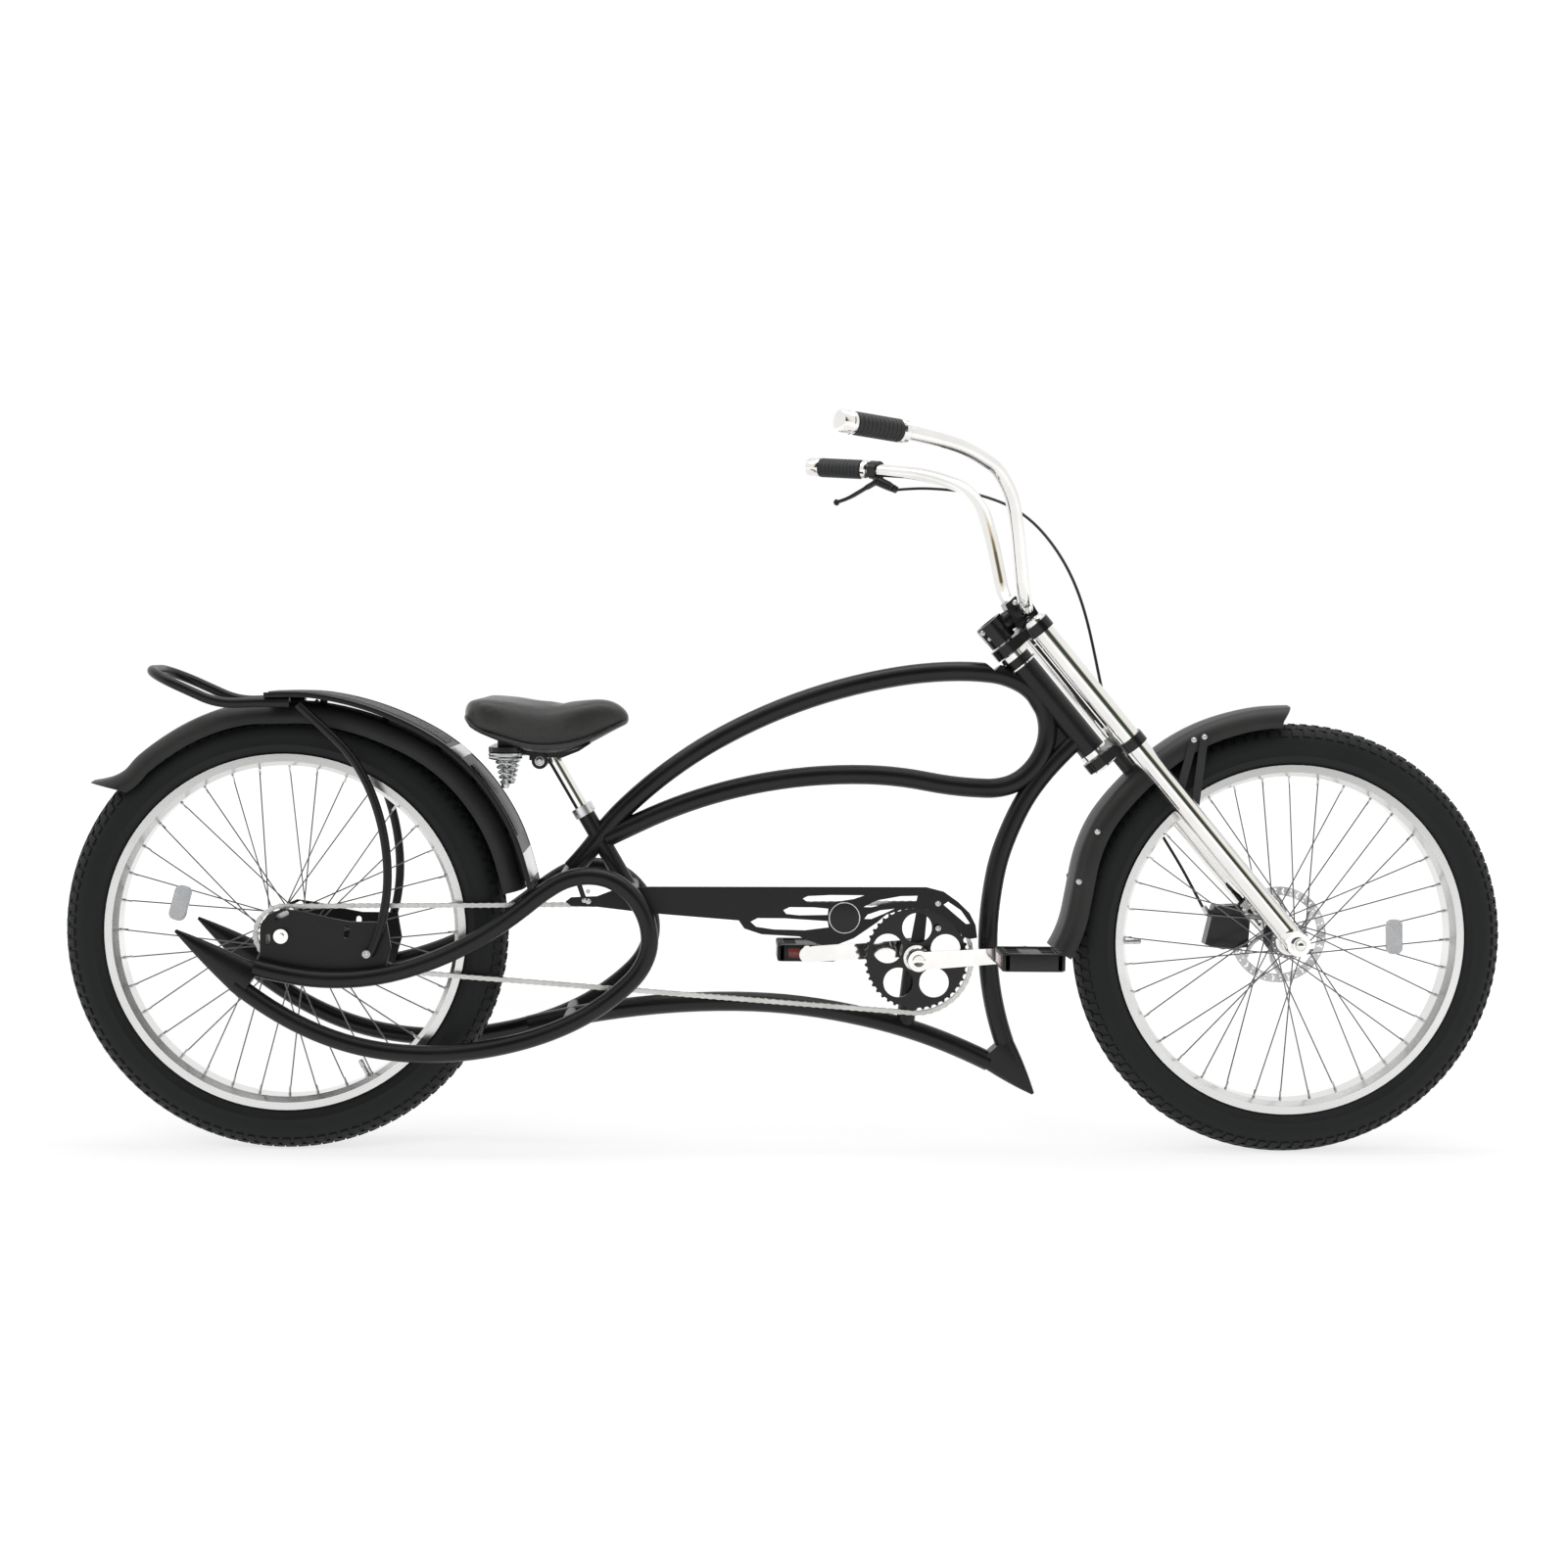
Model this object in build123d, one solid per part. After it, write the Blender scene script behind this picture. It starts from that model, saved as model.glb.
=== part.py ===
from build123d import *
import math
import os

# Chopper bicycle. Millimetres. Dimensions are given in a road frame: X forward, Y to the left,
# Z up, zero on the ground under the rear axle for a tyre of AXLE_HEIGHT radius. The finished
# pieces are moved so that the origin lies on the saddle, where a rider sits.

# ---- wheels -------------------------------------------------------------------------------
WHEELBASE = 1620.0
AXLE_HEIGHT = 350.0
TYRE_RADIUS = 352.0
TYRE_WIDTH = 76.0
BEAD_WIDTH = 52.0
RIM_SEAT_RADIUS = 278.0
RIM_FLANGE_HEIGHT = 8.0
RIM_DEPTH = 11.0
RIM_WIDTH = 62.0
RIM_FLANGE_THICKNESS = 3.0
RIM_WALL = 4.0
RIM_BED = 0.55
SPOKE_COUNT = 36
SPOKE_RADIUS = 1.1
HUB_RADIUS = 17.0
HUB_FLANGE_RADIUS = 30.0
HUB_FLANGE_THICKNESS = 4.0
HUB_FLANGE_SPAN = 56.0
HUB_HALF_WIDTH = 46.0
AXLE_RADIUS = 5.0
AXLE_FIT = 0.05
AXLE_NUT_RADIUS = 11.5
AXLE_NUT_THICKNESS = 8.0
SEAT_GAP = 0.2
RIM_FLANGE_RADIUS = RIM_SEAT_RADIUS + RIM_FLANGE_HEIGHT
RIM_INNER_RADIUS = RIM_SEAT_RADIUS - RIM_DEPTH
# the tyre's section above the rim flange: share of its height, share of its half width
TYRE_SECTION = [(0.33, 0.99), (0.76, 0.82), (1.0, 0.22)]

# ---- frame --------------------------------------------------------------------------------
MAIN_TUBE_RADIUS = 15.9
LOOP_TUBE_RADIUS = 14.0
BRIDGE_RADIUS = 12.0
POST_RADIUS = 14.9
TIP_RADIUS = 2.5
LOOP_Y = 79.0
SEAT_TUBE_RADIUS = 14.3
SEATPOST_RADIUS = 11.1
SEATPOST_REACH = 96.0
SEATPOST_DEPTH = 60.0
AXLE_PLATE_THICKNESS = 6.0
HEAD_ANGLE = 49.6
HEAD_TUBE_RADIUS = 22.0
HEAD_TUBE_BORE_RADIUS = 17.0
HEAD_TOP = (WHEELBASE - 450.0, 808.0)
HEAD_TUBE_LENGTH = 196.0
STEERER_RADIUS = 14.3
STEERER_FIT = 0.05
CUP_RADIUS = 25.0
CUP_HEIGHT = 9.0
BB_X = WHEELBASE - 611.0
BB_Z = 319.0
BB_RADIUS = 20.0
BB_BORE_RADIUS = 12.05
BB_HALF_WIDTH = 36.0
SPINDLE_RADIUS = 12.0

# ---- fork, bars ---------------------------------------------------------------------------
FORK_OFFSET = 50.0
FORK_LEG_Y = 72.0
FORK_LEG_RADIUS = 18.0
FORK_LEG_TOP = 672.0
FORK_EYE_HALF = 11.0
CROWN_THICKNESS = 18.0
CROWN_RADIUS = 21.5
CROWN_EAR = (18.0, 12.0)
CROWN_LOW = 414.0
CROWN_HIGH = 651.0
CROWN_CLEARANCE = 5.0
CROWN_SWEEP = 45.0
BAR_RADIUS = 11.1
GRIP_RADIUS = 17.0
GRIP_LENGTH = 122.0
GRIP_OVERHANG = 4.0

# ---- drive --------------------------------------------------------------------------------
PITCH = 12.7
CHAINRING_TEETH = 44
SPROCKET_TEETH = 22
CHAIN_Y = -45.0
CHAIN_HEIGHT = 8.4
CHAIN_WIDTH = 8.0
SPROCKET_THICKNESS = 3.0
TOOTH_CLEARANCE = 0.5
TOOTH_HEIGHT = 3.6
CRANK_LENGTH = 170.0
CRANK_INNER_Y = 68.0
CRANK_THICKNESS = 14.0
CRANK_END_RADIUS = 13.5
CRANK_BOSS_RADIUS = 17.0
CRANK_ANGLE = 4.2
PEDAL_WIDTH = 90.0
PEDAL_LENGTH = 98.0
PEDAL_THICKNESS = 30.0
PEDAL_CHAMFER = 6.0
PEDAL_SPINDLE_RADIUS = 6.0
PEDAL_GAP = 6.0

# ---- saddle and rack ----------------------------------------------------------------------
SADDLE_X = 410.0
SADDLE_Z = 719.0
SADDLE_HALF_WIDTH = 122.0
RACK_TUBE_RADIUS = 8.0
RACK_Y = 79.0
DECK_THICKNESS = 6.0
DECK_POST_RADIUS = 6.0
STAY_RADIUS = 7.0
FENDER_THICKNESS = 2.5
FENDER_HALF_WIDTH = 48.0
FENDER_DROP = 35.0
FENDER_CORNER = 24.0
FENDER_CROWN = 2.0
FENDER_GAP = 8.0

REAR = (0.0, AXLE_HEIGHT)
FRONT = (WHEELBASE, AXLE_HEIGHT)


# ---- helpers ------------------------------------------------------------------------------
def at(x, y, z):
    return Vector(x, y, z)


def placed(points):
    """Points that start with a distance ahead of the rear axle or, below zero, from the front one."""
    return [(x if x >= 0 else WHEELBASE + x, *rest) for x, *rest in points]


def heading(degrees):
    angle = math.radians(degrees)
    return Vector(math.cos(angle), 0, math.sin(angle))


def bend(start, end, leave):
    """An arc that leaves start along a direction and reaches end, or a line where it is straight."""
    chord = end - start
    if leave.cross(chord).length < 1e-4 * chord.length:
        return Line(start, end)
    return TangentArc(start, end, tangent=leave)


def arc_path(stations, y):
    """Two tangent arcs between each pair of stations (x, z, heading in degrees)."""
    edges = []
    for (x0, z0, h0), (x1, z1, h1) in zip(stations, stations[1:]):
        start = at(x0, y, z0)
        end = at(x1, y, z1)
        leave = heading(h0)
        arrive = heading(h1)
        chord = end - start
        along = chord.dot(leave + arrive)
        turn = 2 * (1 - leave.dot(arrive))
        square = chord.dot(chord)
        if turn < 1e-6:
            reach = square / (2 * along)
        else:
            reach = (math.sqrt(along * along + turn * square) - along) / turn
        first = start + leave * reach
        second = end - arrive * reach
        middle = (first + second) * 0.5
        edges.append(bend(start, middle, leave))
        edges.append(bend(middle, end, second - first))
    return Wire(edges)


def fillet_path(points, share=0.45):
    """Straight runs joined by tangent arcs, each as large as its two runs allow."""
    points = [Vector(*p) for p in points]
    radii = []
    for before, here, after in zip(points, points[1:], points[2:]):
        turn = math.radians((here - before).get_angle(after - here))
        run = min((here - before).length, (after - here).length)
        radii.append(share * run / math.tan(turn / 2))
    return FilletPolyline(*points, radius=radii)


def tube(path, radius):
    section = Plane(origin=path @ 0, z_dir=path % 0) * Circle(radius)
    return sweep(section, path=path)


def rod(start, end, radius):
    start = Vector(*start)
    end = Vector(*end)
    length = (end - start).length
    return Plane(origin=start, z_dir=end - start) * Cylinder(
        radius, length, align=(Align.CENTER, Align.CENTER, Align.MIN))


def shaft(x, z, radius, y0, y1):
    """A cylinder along Y."""
    return rod((x, min(y0, y1), z), (x, max(y0, y1), z), radius)


def plate(outline, y0, y1):
    """A flat plate from a list of (x, z) corners, between two values of Y."""
    low = min(y0, y1)
    face = make_face(Polyline(*[at(x, low, z) for x, z in outline], close=True))
    return extrude(face, amount=abs(y1 - y0), dir=(0, 1, 0))


def ring_of(profile, x, z):
    """A profile of (radius, y) corners turned about the wheel axis at x, z."""
    face = make_face(Polyline(*profile, close=True))
    return Location((x, 0, z)) * revolve(face, Axis.Y)


def mirrored(shape):
    return shape.mirror(Plane.XZ)


def band(stations, depth, y0, y1):
    """A curved strip that follows stations, depth thick towards the inside of the curve."""
    top = arc_path(stations, y0)
    inner = [(x + depth * math.sin(math.radians(h)), z - depth * math.cos(math.radians(h)), h)
             for x, z, h in stations]
    bottom = arc_path(inner, y0)
    left = Line(top @ 0, bottom @ 0)
    right = Line(top @ 1, bottom @ 1)
    face = make_face([*top.edges(), *bottom.edges(), left, right])
    return extrude(face, amount=y1 - y0, dir=(0, 1, 0))


# ---- head axis ----------------------------------------------------------------------------
HEAD_DOWN = Vector(math.cos(math.radians(HEAD_ANGLE)), 0, -math.sin(math.radians(HEAD_ANGLE)))
HEAD_FORWARD = Vector(math.sin(math.radians(HEAD_ANGLE)), 0, math.cos(math.radians(HEAD_ANGLE)))
# foot of the front axle on the head axis, FORK_OFFSET behind the axle
HEAD_FOOT = at(FRONT[0], 0, FRONT[1]) - HEAD_FORWARD * FORK_OFFSET


def on_head(up, forward=0.0, y=0.0):
    """A point given by its height along the head axis above the front axle."""
    return HEAD_FOOT - HEAD_DOWN * up + HEAD_FORWARD * forward + at(0, y, 0)


HEAD_TOP_UP = (HEAD_FOOT - at(HEAD_TOP[0], 0, HEAD_TOP[1])).dot(HEAD_DOWN)
HEAD_LOW_UP = HEAD_TOP_UP - HEAD_TUBE_LENGTH


# ---- frame --------------------------------------------------------------------------------
UPPER_LINE = placed([(453, 453, 47), (541, 557, 44), (-738, 749, 16), (-545, 780, 1),
                     (-443, 762, -29), (-405, 719, -68), (-402, 662, -106), (-439, 608, -143),
                     (-497, 591, 179), (-691, 611, 179), (560, 530, -154)])
UPPER_END = (506, 504)
GUSSET = placed([(-436, 740), (-340, 650), (-358, 655), (-405, 600), (-424, 612), (-408, 660),
                 (-414, 705)])
GUSSET_THICKNESS = 14.0
DOWN_LINE = placed([(-356, 668, -136), (-421, 594, -125), (-466, 503, -110), (-488, 392, -95),
                    (-484, 269, -81), (-460, 175, -70)])
LOWER_LINE = placed([(385, 198, 14), (559, 230, 7), (-738, 225, -10), (-595, 189, -19),
                     (-485, 143, -26)])
LOOP_LINE = [(-70, 276, -39), (71, 193, -21), (220, 165, -1), (383, 187, 16), (515, 251, 37),
             (576, 322, 70), (575, 382, 109), (532, 437, 147), (473, 450, -174), (395, 410, -140),
             (257, 322, -156), (112, 284, -176), (-40, 302, 164)]
SEAT_LINE = ((468.5, 553.0), (543.5, 425.0))
BRIDGES = [(447.0, 444.0), (548.0, 422.0), (455.0, 217.0)]


def horn(base, tip, height, width, tip_radius):
    """A tapering point: an oval section that shrinks to a blunt tip."""
    start = at(*base)
    end = at(*tip)
    direction = end - start
    up = direction.cross(at(0, 1, 0))
    sections = []
    for share in (0.0, 0.45, 1.0):
        plane = Plane(origin=start + direction * share, x_dir=up, z_dir=direction)
        tall = height * (1 - share) ** 0.8 + 2 * tip_radius * share
        wide = width * (1 - share ** 2) + 2 * tip_radius * share ** 2
        sections.append(plane * Ellipse(tall / 2, wide / 2))
    return loft(sections)


LOOP_POINT = ((-46, 277), (-163, 359))
LOOP_POINT_HEIGHT = 62.0


def side_loop():
    """The closed curl on one side: two tubes that meet in a point behind the wheel."""
    curl = tube(arc_path(LOOP_LINE, -LOOP_Y), LOOP_TUBE_RADIUS)
    (x0, z0), (x1, z1) = LOOP_POINT
    tail = horn((x0, -LOOP_Y, z0), (x1, -LOOP_Y, z1), LOOP_POINT_HEIGHT, 2 * LOOP_TUBE_RADIUS,
                TIP_RADIUS)
    return curl + tail


def head_tube():
    body = rod(on_head(HEAD_LOW_UP), on_head(HEAD_TOP_UP), HEAD_TUBE_RADIUS)
    return body - rod(on_head(HEAD_LOW_UP - 5), on_head(HEAD_TOP_UP + 5), HEAD_TUBE_BORE_RADIUS)


def headset_cups():
    cups = []
    for low, high in ((HEAD_TOP_UP + SEAT_GAP, HEAD_TOP_UP + CUP_HEIGHT),
                      (HEAD_LOW_UP - CUP_HEIGHT, HEAD_LOW_UP - SEAT_GAP)):
        cup = rod(on_head(low), on_head(high), CUP_RADIUS)
        bore = rod(on_head(low - 5), on_head(high + 5), STEERER_RADIUS + STEERER_FIT)
        cups.append(cup - bore)
    return Compound(cups)


KEEL_POINT = placed([(-479, 166), (-411, 90)])
KEEL_POINT_HEIGHT = 74.0
POST_FOOT = (WHEELBASE - 623.0, 205.0)


def keel():
    """Down tube, the sharp point under the cranks and the tube that runs back to the loops."""
    down = tube(arc_path(DOWN_LINE, 0), MAIN_TUBE_RADIUS)
    lower = tube(arc_path(LOWER_LINE, 0), MAIN_TUBE_RADIUS)
    (x0, z0), (x1, z1) = KEEL_POINT
    point = horn((x0, 0, z0), (x1, 0, z1), KEEL_POINT_HEIGHT, 2 * MAIN_TUBE_RADIUS, TIP_RADIUS)
    return down + lower + point


def bottom_bracket():
    shell = shaft(BB_X, BB_Z, BB_RADIUS, -BB_HALF_WIDTH, BB_HALF_WIDTH)
    post = rod((POST_FOOT[0], 0, POST_FOOT[1]), (BB_X, 0, BB_Z), POST_RADIUS)
    return shell + post - shaft(BB_X, BB_Z, BB_BORE_RADIUS, -BB_HALF_WIDTH - 5, BB_HALF_WIDTH + 5)


PLATE_Y = LOOP_Y - LOOP_TUBE_RADIUS + 1 - AXLE_PLATE_THICKNESS / 2
AXLE_PLATE = [(-34, 300), (-34, 351), (-33, 368), (-22, 383), (1, 393), (36, 388), (75, 379),
              (107, 373), (165, 373), (172, 332), (160, 290), (100, 278), (30, 284)]
AXLE_PLATE_SLOTS = [((-8, 378), (7, 386), 4.5), ((-22, 339), (-22, 349), 4.0),
                    ((101, 351), (102, 362), 4.5)]


def slot(start, end, radius, y0, y1):
    """The room of a slot with round ends between two points (x, z)."""
    (x0, z0), (x1, z1) = start, end
    length = math.hypot(x1 - x0, z1 - z0)
    nx = -(z1 - z0) / length * radius
    nz = (x1 - x0) / length * radius
    body = plate([(x0 + nx, z0 + nz), (x1 + nx, z1 + nz), (x1 - nx, z1 - nz), (x0 - nx, z0 - nz)],
                 y0, y1)
    return body + shaft(x0, z0, radius, y0, y1) + shaft(x1, z1, radius, y0, y1)


def axle_plate():
    half = AXLE_PLATE_THICKNESS / 2
    flat = plate(AXLE_PLATE, -PLATE_Y - half, -PLATE_Y + half)
    for start, end, radius in AXLE_PLATE_SLOTS:
        flat -= slot(start, end, radius, -PLATE_Y - 10, -PLATE_Y + 10)
    return flat - shaft(*REAR, AXLE_RADIUS + AXLE_FIT, -PLATE_Y - 10, -PLATE_Y + 10)


# ---- wheels -------------------------------------------------------------------------------
def tyre(x, z):
    """A ring whose beads sit inside the rim flanges, with a flat-sided round section."""
    bead = BEAD_WIDTH / 2
    seat = RIM_SEAT_RADIUS + SEAT_GAP
    flange = RIM_FLANGE_RADIUS + SEAT_GAP
    side = [(seat, bead), (flange, bead)]
    for rise, width in TYRE_SECTION:
        side.append((flange + rise * (TYRE_RADIUS - flange), width * TYRE_WIDTH / 2))
    return ring_of(side + [(radius, -y) for radius, y in reversed(side)], x, z)


def rim(x, z):
    half = RIM_WIDTH / 2
    inside = half - RIM_FLANGE_THICKNESS
    profile = [(RIM_INNER_RADIUS, -half * RIM_BED), (RIM_INNER_RADIUS, half * RIM_BED),
               (RIM_SEAT_RADIUS - RIM_WALL, half), (RIM_FLANGE_RADIUS, half),
               (RIM_FLANGE_RADIUS, inside), (RIM_SEAT_RADIUS, inside),
               (RIM_SEAT_RADIUS, -inside), (RIM_FLANGE_RADIUS, -inside),
               (RIM_FLANGE_RADIUS, -half), (RIM_SEAT_RADIUS - RIM_WALL, -half)]
    return ring_of(profile, x, z)


def hub_and_spokes(x, z):
    """A hub shell with two flanges and crossed spokes that end on the rim."""
    body = shaft(x, z, HUB_RADIUS, -HUB_HALF_WIDTH, HUB_HALF_WIDTH)
    spokes = []
    per_side = SPOKE_COUNT // 2
    for side in (-1, 1):
        y = side * HUB_FLANGE_SPAN / 2
        body += shaft(x, z, HUB_FLANGE_RADIUS, y - HUB_FLANGE_THICKNESS / 2,
                      y + HUB_FLANGE_THICKNESS / 2)
        for index in range(per_side):
            lead = 55 if index % 2 else -55
            rim_angle = math.radians(360 * (index + 0.25 * (1 + side)) / per_side)
            hub_angle = rim_angle + math.radians(lead)
            inner = HUB_FLANGE_RADIUS - 2
            outer = RIM_INNER_RADIUS - SEAT_GAP
            root = (x + inner * math.cos(hub_angle), y, z + inner * math.sin(hub_angle))
            tip = (x + outer * math.cos(rim_angle), side * 4.0, z + outer * math.sin(rim_angle))
            spokes.append(rod(root, tip, SPOKE_RADIUS))
    bore = shaft(x, z, AXLE_RADIUS + AXLE_FIT, -HUB_HALF_WIDTH - 5, HUB_HALF_WIDTH + 5)
    return body.fuse(*spokes) - bore


def axle(x, z, half_length, nut_from):
    body = shaft(x, z, AXLE_RADIUS, -half_length, half_length)
    for side in (-1, 1):
        body += shaft(x, z, AXLE_NUT_RADIUS, side * nut_from,
                      side * (nut_from + AXLE_NUT_THICKNESS))
    return body


def pitch_radius(teeth):
    return PITCH / (2 * math.sin(math.pi / teeth))


def toothed_plate(teeth, x, z, y):
    """A toothed disc that stays just inside the chain."""
    tip = pitch_radius(teeth) - CHAIN_HEIGHT / 2 - TOOTH_CLEARANCE
    root = tip - TOOTH_HEIGHT
    corners = []
    for index in range(teeth):
        for part, radius in ((-0.30, root), (-0.10, tip), (0.10, tip), (0.30, root)):
            angle = 2 * math.pi * (index + part) / teeth
            corners.append((x + radius * math.cos(angle), z + radius * math.sin(angle)))
    return plate(corners, y - SPROCKET_THICKNESS / 2, y + SPROCKET_THICKNESS / 2)


def sprocket():
    disc = toothed_plate(SPROCKET_TEETH, *REAR, CHAIN_Y)
    body = disc + shaft(*REAR, HUB_RADIUS + 6, CHAIN_Y - 1.5, -HUB_HALF_WIDTH + 8)
    return body - shaft(*REAR, HUB_RADIUS + SEAT_GAP, CHAIN_Y - 5, 0)


def chainring():
    disc = toothed_plate(CHAINRING_TEETH, BB_X, BB_Z, CHAIN_Y)
    for index in range(5):
        angle = math.radians(72 * index + 18)
        disc -= shaft(BB_X + 49 * math.cos(angle), BB_Z + 49 * math.sin(angle), 24,
                      CHAIN_Y - 5, CHAIN_Y + 5)
    return disc - shaft(BB_X, BB_Z, SPINDLE_RADIUS + SEAT_GAP, CHAIN_Y - 5, CHAIN_Y + 5)


def chain():
    """The chain as one closed loop round the chainring and the sprocket."""
    small = pitch_radius(SPROCKET_TEETH)
    large = pitch_radius(CHAINRING_TEETH)
    dx = BB_X - REAR[0]
    dz = BB_Z - REAR[1]
    span = math.hypot(dx, dz)
    base = math.atan2(dz, dx)
    lean = math.acos((small - large) / span)
    loops = []
    for grow in (CHAIN_HEIGHT / 2, -CHAIN_HEIGHT / 2):
        points = {}
        for name, x, z, radius in (("s", *REAR, small + grow), ("l", BB_X, BB_Z, large + grow)):
            for edge, turn in (("top", lean), ("low", -lean)):
                angle = base + turn
                points[name + edge] = at(x + radius * math.cos(angle), CHAIN_Y - CHAIN_WIDTH / 2,
                                         z + radius * math.sin(angle))
        back = at(REAR[0] - (small + grow) * math.cos(base), CHAIN_Y - CHAIN_WIDTH / 2,
                  REAR[1] - (small + grow) * math.sin(base))
        front = at(BB_X + (large + grow) * math.cos(base), CHAIN_Y - CHAIN_WIDTH / 2,
                   BB_Z + (large + grow) * math.sin(base))
        loops.append(make_face([
            Line(points["stop"], points["ltop"]),
            ThreePointArc(points["ltop"], front, points["llow"]),
            Line(points["llow"], points["slow"]),
            ThreePointArc(points["slow"], back, points["stop"])]))
    return extrude(loops[0] - loops[1], amount=CHAIN_WIDTH, dir=(0, 1, 0))


def crank_end(direction):
    """The pedal axle of one arm: direction 1 points forward, -1 backward."""
    turn = math.radians(CRANK_ANGLE)
    return (BB_X + direction * CRANK_LENGTH * math.cos(turn),
            BB_Z + direction * CRANK_LENGTH * math.sin(turn))


def crank_arms():
    arms = []
    for side, direction in ((-1, 1), (1, -1)):
        inner = side * CRANK_INNER_Y
        outer = side * (CRANK_INNER_Y + CRANK_THICKNESS)
        x, z = crank_end(direction)
        arm = shaft(BB_X, BB_Z, CRANK_BOSS_RADIUS, inner, outer)
        arm += shaft(x, z, CRANK_END_RADIUS, inner, outer)
        root = CRANK_BOSS_RADIUS - 2.5
        tip = CRANK_END_RADIUS - 1.5
        arm += plate([(BB_X, BB_Z - root), (x, z - tip), (x, z + tip), (BB_X, BB_Z + root)],
                     inner, outer)
        arm -= shaft(BB_X, BB_Z, SPINDLE_RADIUS, inner - side * 5, outer - side * 4)
        arm += shaft(x, z, PEDAL_SPINDLE_RADIUS, outer, outer + side * (PEDAL_GAP + PEDAL_WIDTH - 8))
        arms.append(arm)
    return Compound(arms)


def crank_spindle():
    reach = CRANK_INNER_Y + CRANK_THICKNESS - 4
    return shaft(BB_X, BB_Z, SPINDLE_RADIUS, -reach, reach)


def pedal(side, direction):
    x, z = crank_end(direction)
    y0 = side * (CRANK_INNER_Y + CRANK_THICKNESS + PEDAL_GAP)
    y1 = y0 + side * PEDAL_WIDTH
    half = PEDAL_LENGTH / 2
    thick = PEDAL_THICKNESS / 2
    corners = [(half, thick - PEDAL_CHAMFER), (half - PEDAL_CHAMFER, thick)]
    quarter = corners + [(-a, b) for a, b in reversed(corners)]
    outline = quarter + [(-a, -b) for a, b in quarter]
    body = plate([(x + a, z + b) for a, b in outline], y0, y1)
    depth = PEDAL_SPINDLE_RADIUS + AXLE_FIT
    return body - shaft(x, z, depth, y0 - side * 5, y0 + side * (PEDAL_WIDTH - 7))


# ---- steering -----------------------------------------------------------------------------
def fork_leg(side):
    y = side * FORK_LEG_Y
    leg = rod(on_head(4, FORK_OFFSET, y), on_head(FORK_LEG_TOP, FORK_OFFSET, y), FORK_LEG_RADIUS)
    foot = shaft(*FRONT, FORK_LEG_RADIUS + 1, y - FORK_EYE_HALF, y + FORK_EYE_HALF)
    leg -= shaft(*FRONT, FORK_LEG_RADIUS + 5, side * (FORK_LEG_Y + FORK_EYE_HALF),
                 side * (FORK_LEG_Y + 40))
    return leg + foot - shaft(*FRONT, AXLE_RADIUS + AXLE_FIT, y - 30, y + 30)


def fork_legs():
    return Compound([fork_leg(-1), fork_leg(1)])


def crown(up):
    """One fork crown: a block round the steerer that clamps both legs."""
    base = on_head(up)
    plane = Plane(origin=base, x_dir=at(0, 1, 0), z_dir=HEAD_DOWN * -1)
    # the plane's Y points along -HEAD_FORWARD or +HEAD_FORWARD
    sign = 1 if plane.y_dir.dot(HEAD_FORWARD) > 0 else -1
    outline = SlotCenterToCenter(2 * FORK_LEG_Y, 2 * CROWN_RADIUS)
    outline = Pos(0, sign * FORK_OFFSET) * outline
    tail = Pos(0, sign * FORK_OFFSET / 2) * Rectangle(2 * CROWN_RADIUS + 10, FORK_OFFSET)
    nose = Circle(CROWN_RADIUS + 2) + Pos(0, -sign * CROWN_RADIUS) * Rectangle(*CROWN_EAR)
    face = plane * (outline + tail + nose)
    block = extrude(face, amount=CROWN_THICKNESS, dir=HEAD_DOWN * -1)
    for side in (-1, 1):
        block -= rod(on_head(up - 5, FORK_OFFSET, side * FORK_LEG_Y),
                     on_head(up + CROWN_THICKNESS + 5, FORK_OFFSET, side * FORK_LEG_Y),
                     FORK_LEG_RADIUS + SEAT_GAP)
    return block - rod(on_head(up - 5), on_head(up + CROWN_THICKNESS + 5),
                       STEERER_RADIUS + SEAT_GAP)


STEM_UP = 672.0
STEM_HEIGHT = 40.0
BAR_CENTRE = (WHEELBASE - 446.0, 878.0)
BAR_LINE = placed([(-446, 0, 878), (-448, -72, 879), (-460, -106, 905), (-476, -143, 1000),
                   (-489, -170, 1052), (-516, -200, 1090), (-575, -262, 1116),
                   (-658, -335, 1128), (-770, -403, 1137)])
STEM_BAR_CLAMP = placed([(-476, 888), (-460, 902), (-438, 900), (-420, 872), (-430, 853),
                         (-456, 850)])
STEM_EAR = placed([(-516, 843), (-499, 824), (-468, 846), (-479, 872)])
STEM_WIDTH = 54.0


def handlebar(radius=BAR_RADIUS):
    """The bar, or with a larger radius the room that it needs in what clamps it."""
    half = fillet_path([(BAR_CENTRE[0], -1, BAR_CENTRE[1]), *BAR_LINE[1:]])
    right = tube(half, radius)
    middle = rod((BAR_CENTRE[0], -1, BAR_CENTRE[1]), (BAR_CENTRE[0], 1, BAR_CENTRE[1]), radius)
    return right + mirrored(right) + middle


def stem():
    """The clamp on the steerer with its ears behind, the arm and the clamp round the bar."""
    centre = at(BAR_CENTRE[0], 0, BAR_CENTRE[1])
    clamp = rod(on_head(STEM_UP), on_head(STEM_UP + STEM_HEIGHT), STEERER_RADIUS + 9)
    ear = plate(STEM_EAR, -STEM_WIDTH / 4, STEM_WIDTH / 4)
    bar_clamp = plate(STEM_BAR_CLAMP, -STEM_WIDTH / 2, STEM_WIDTH / 2)
    arm = rod(on_head(STEM_UP + 24), centre, 16)
    body = clamp + ear + bar_clamp + arm
    body -= rod(on_head(STEM_UP - 5), on_head(STEM_UP + STEM_HEIGHT + 20), STEERER_RADIUS + SEAT_GAP)
    body -= rod(on_head(CROWN_HIGH - 20), on_head(CROWN_HIGH + CROWN_THICKNESS + 1), 150)
    return body - handlebar(BAR_RADIUS + SEAT_GAP)


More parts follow.
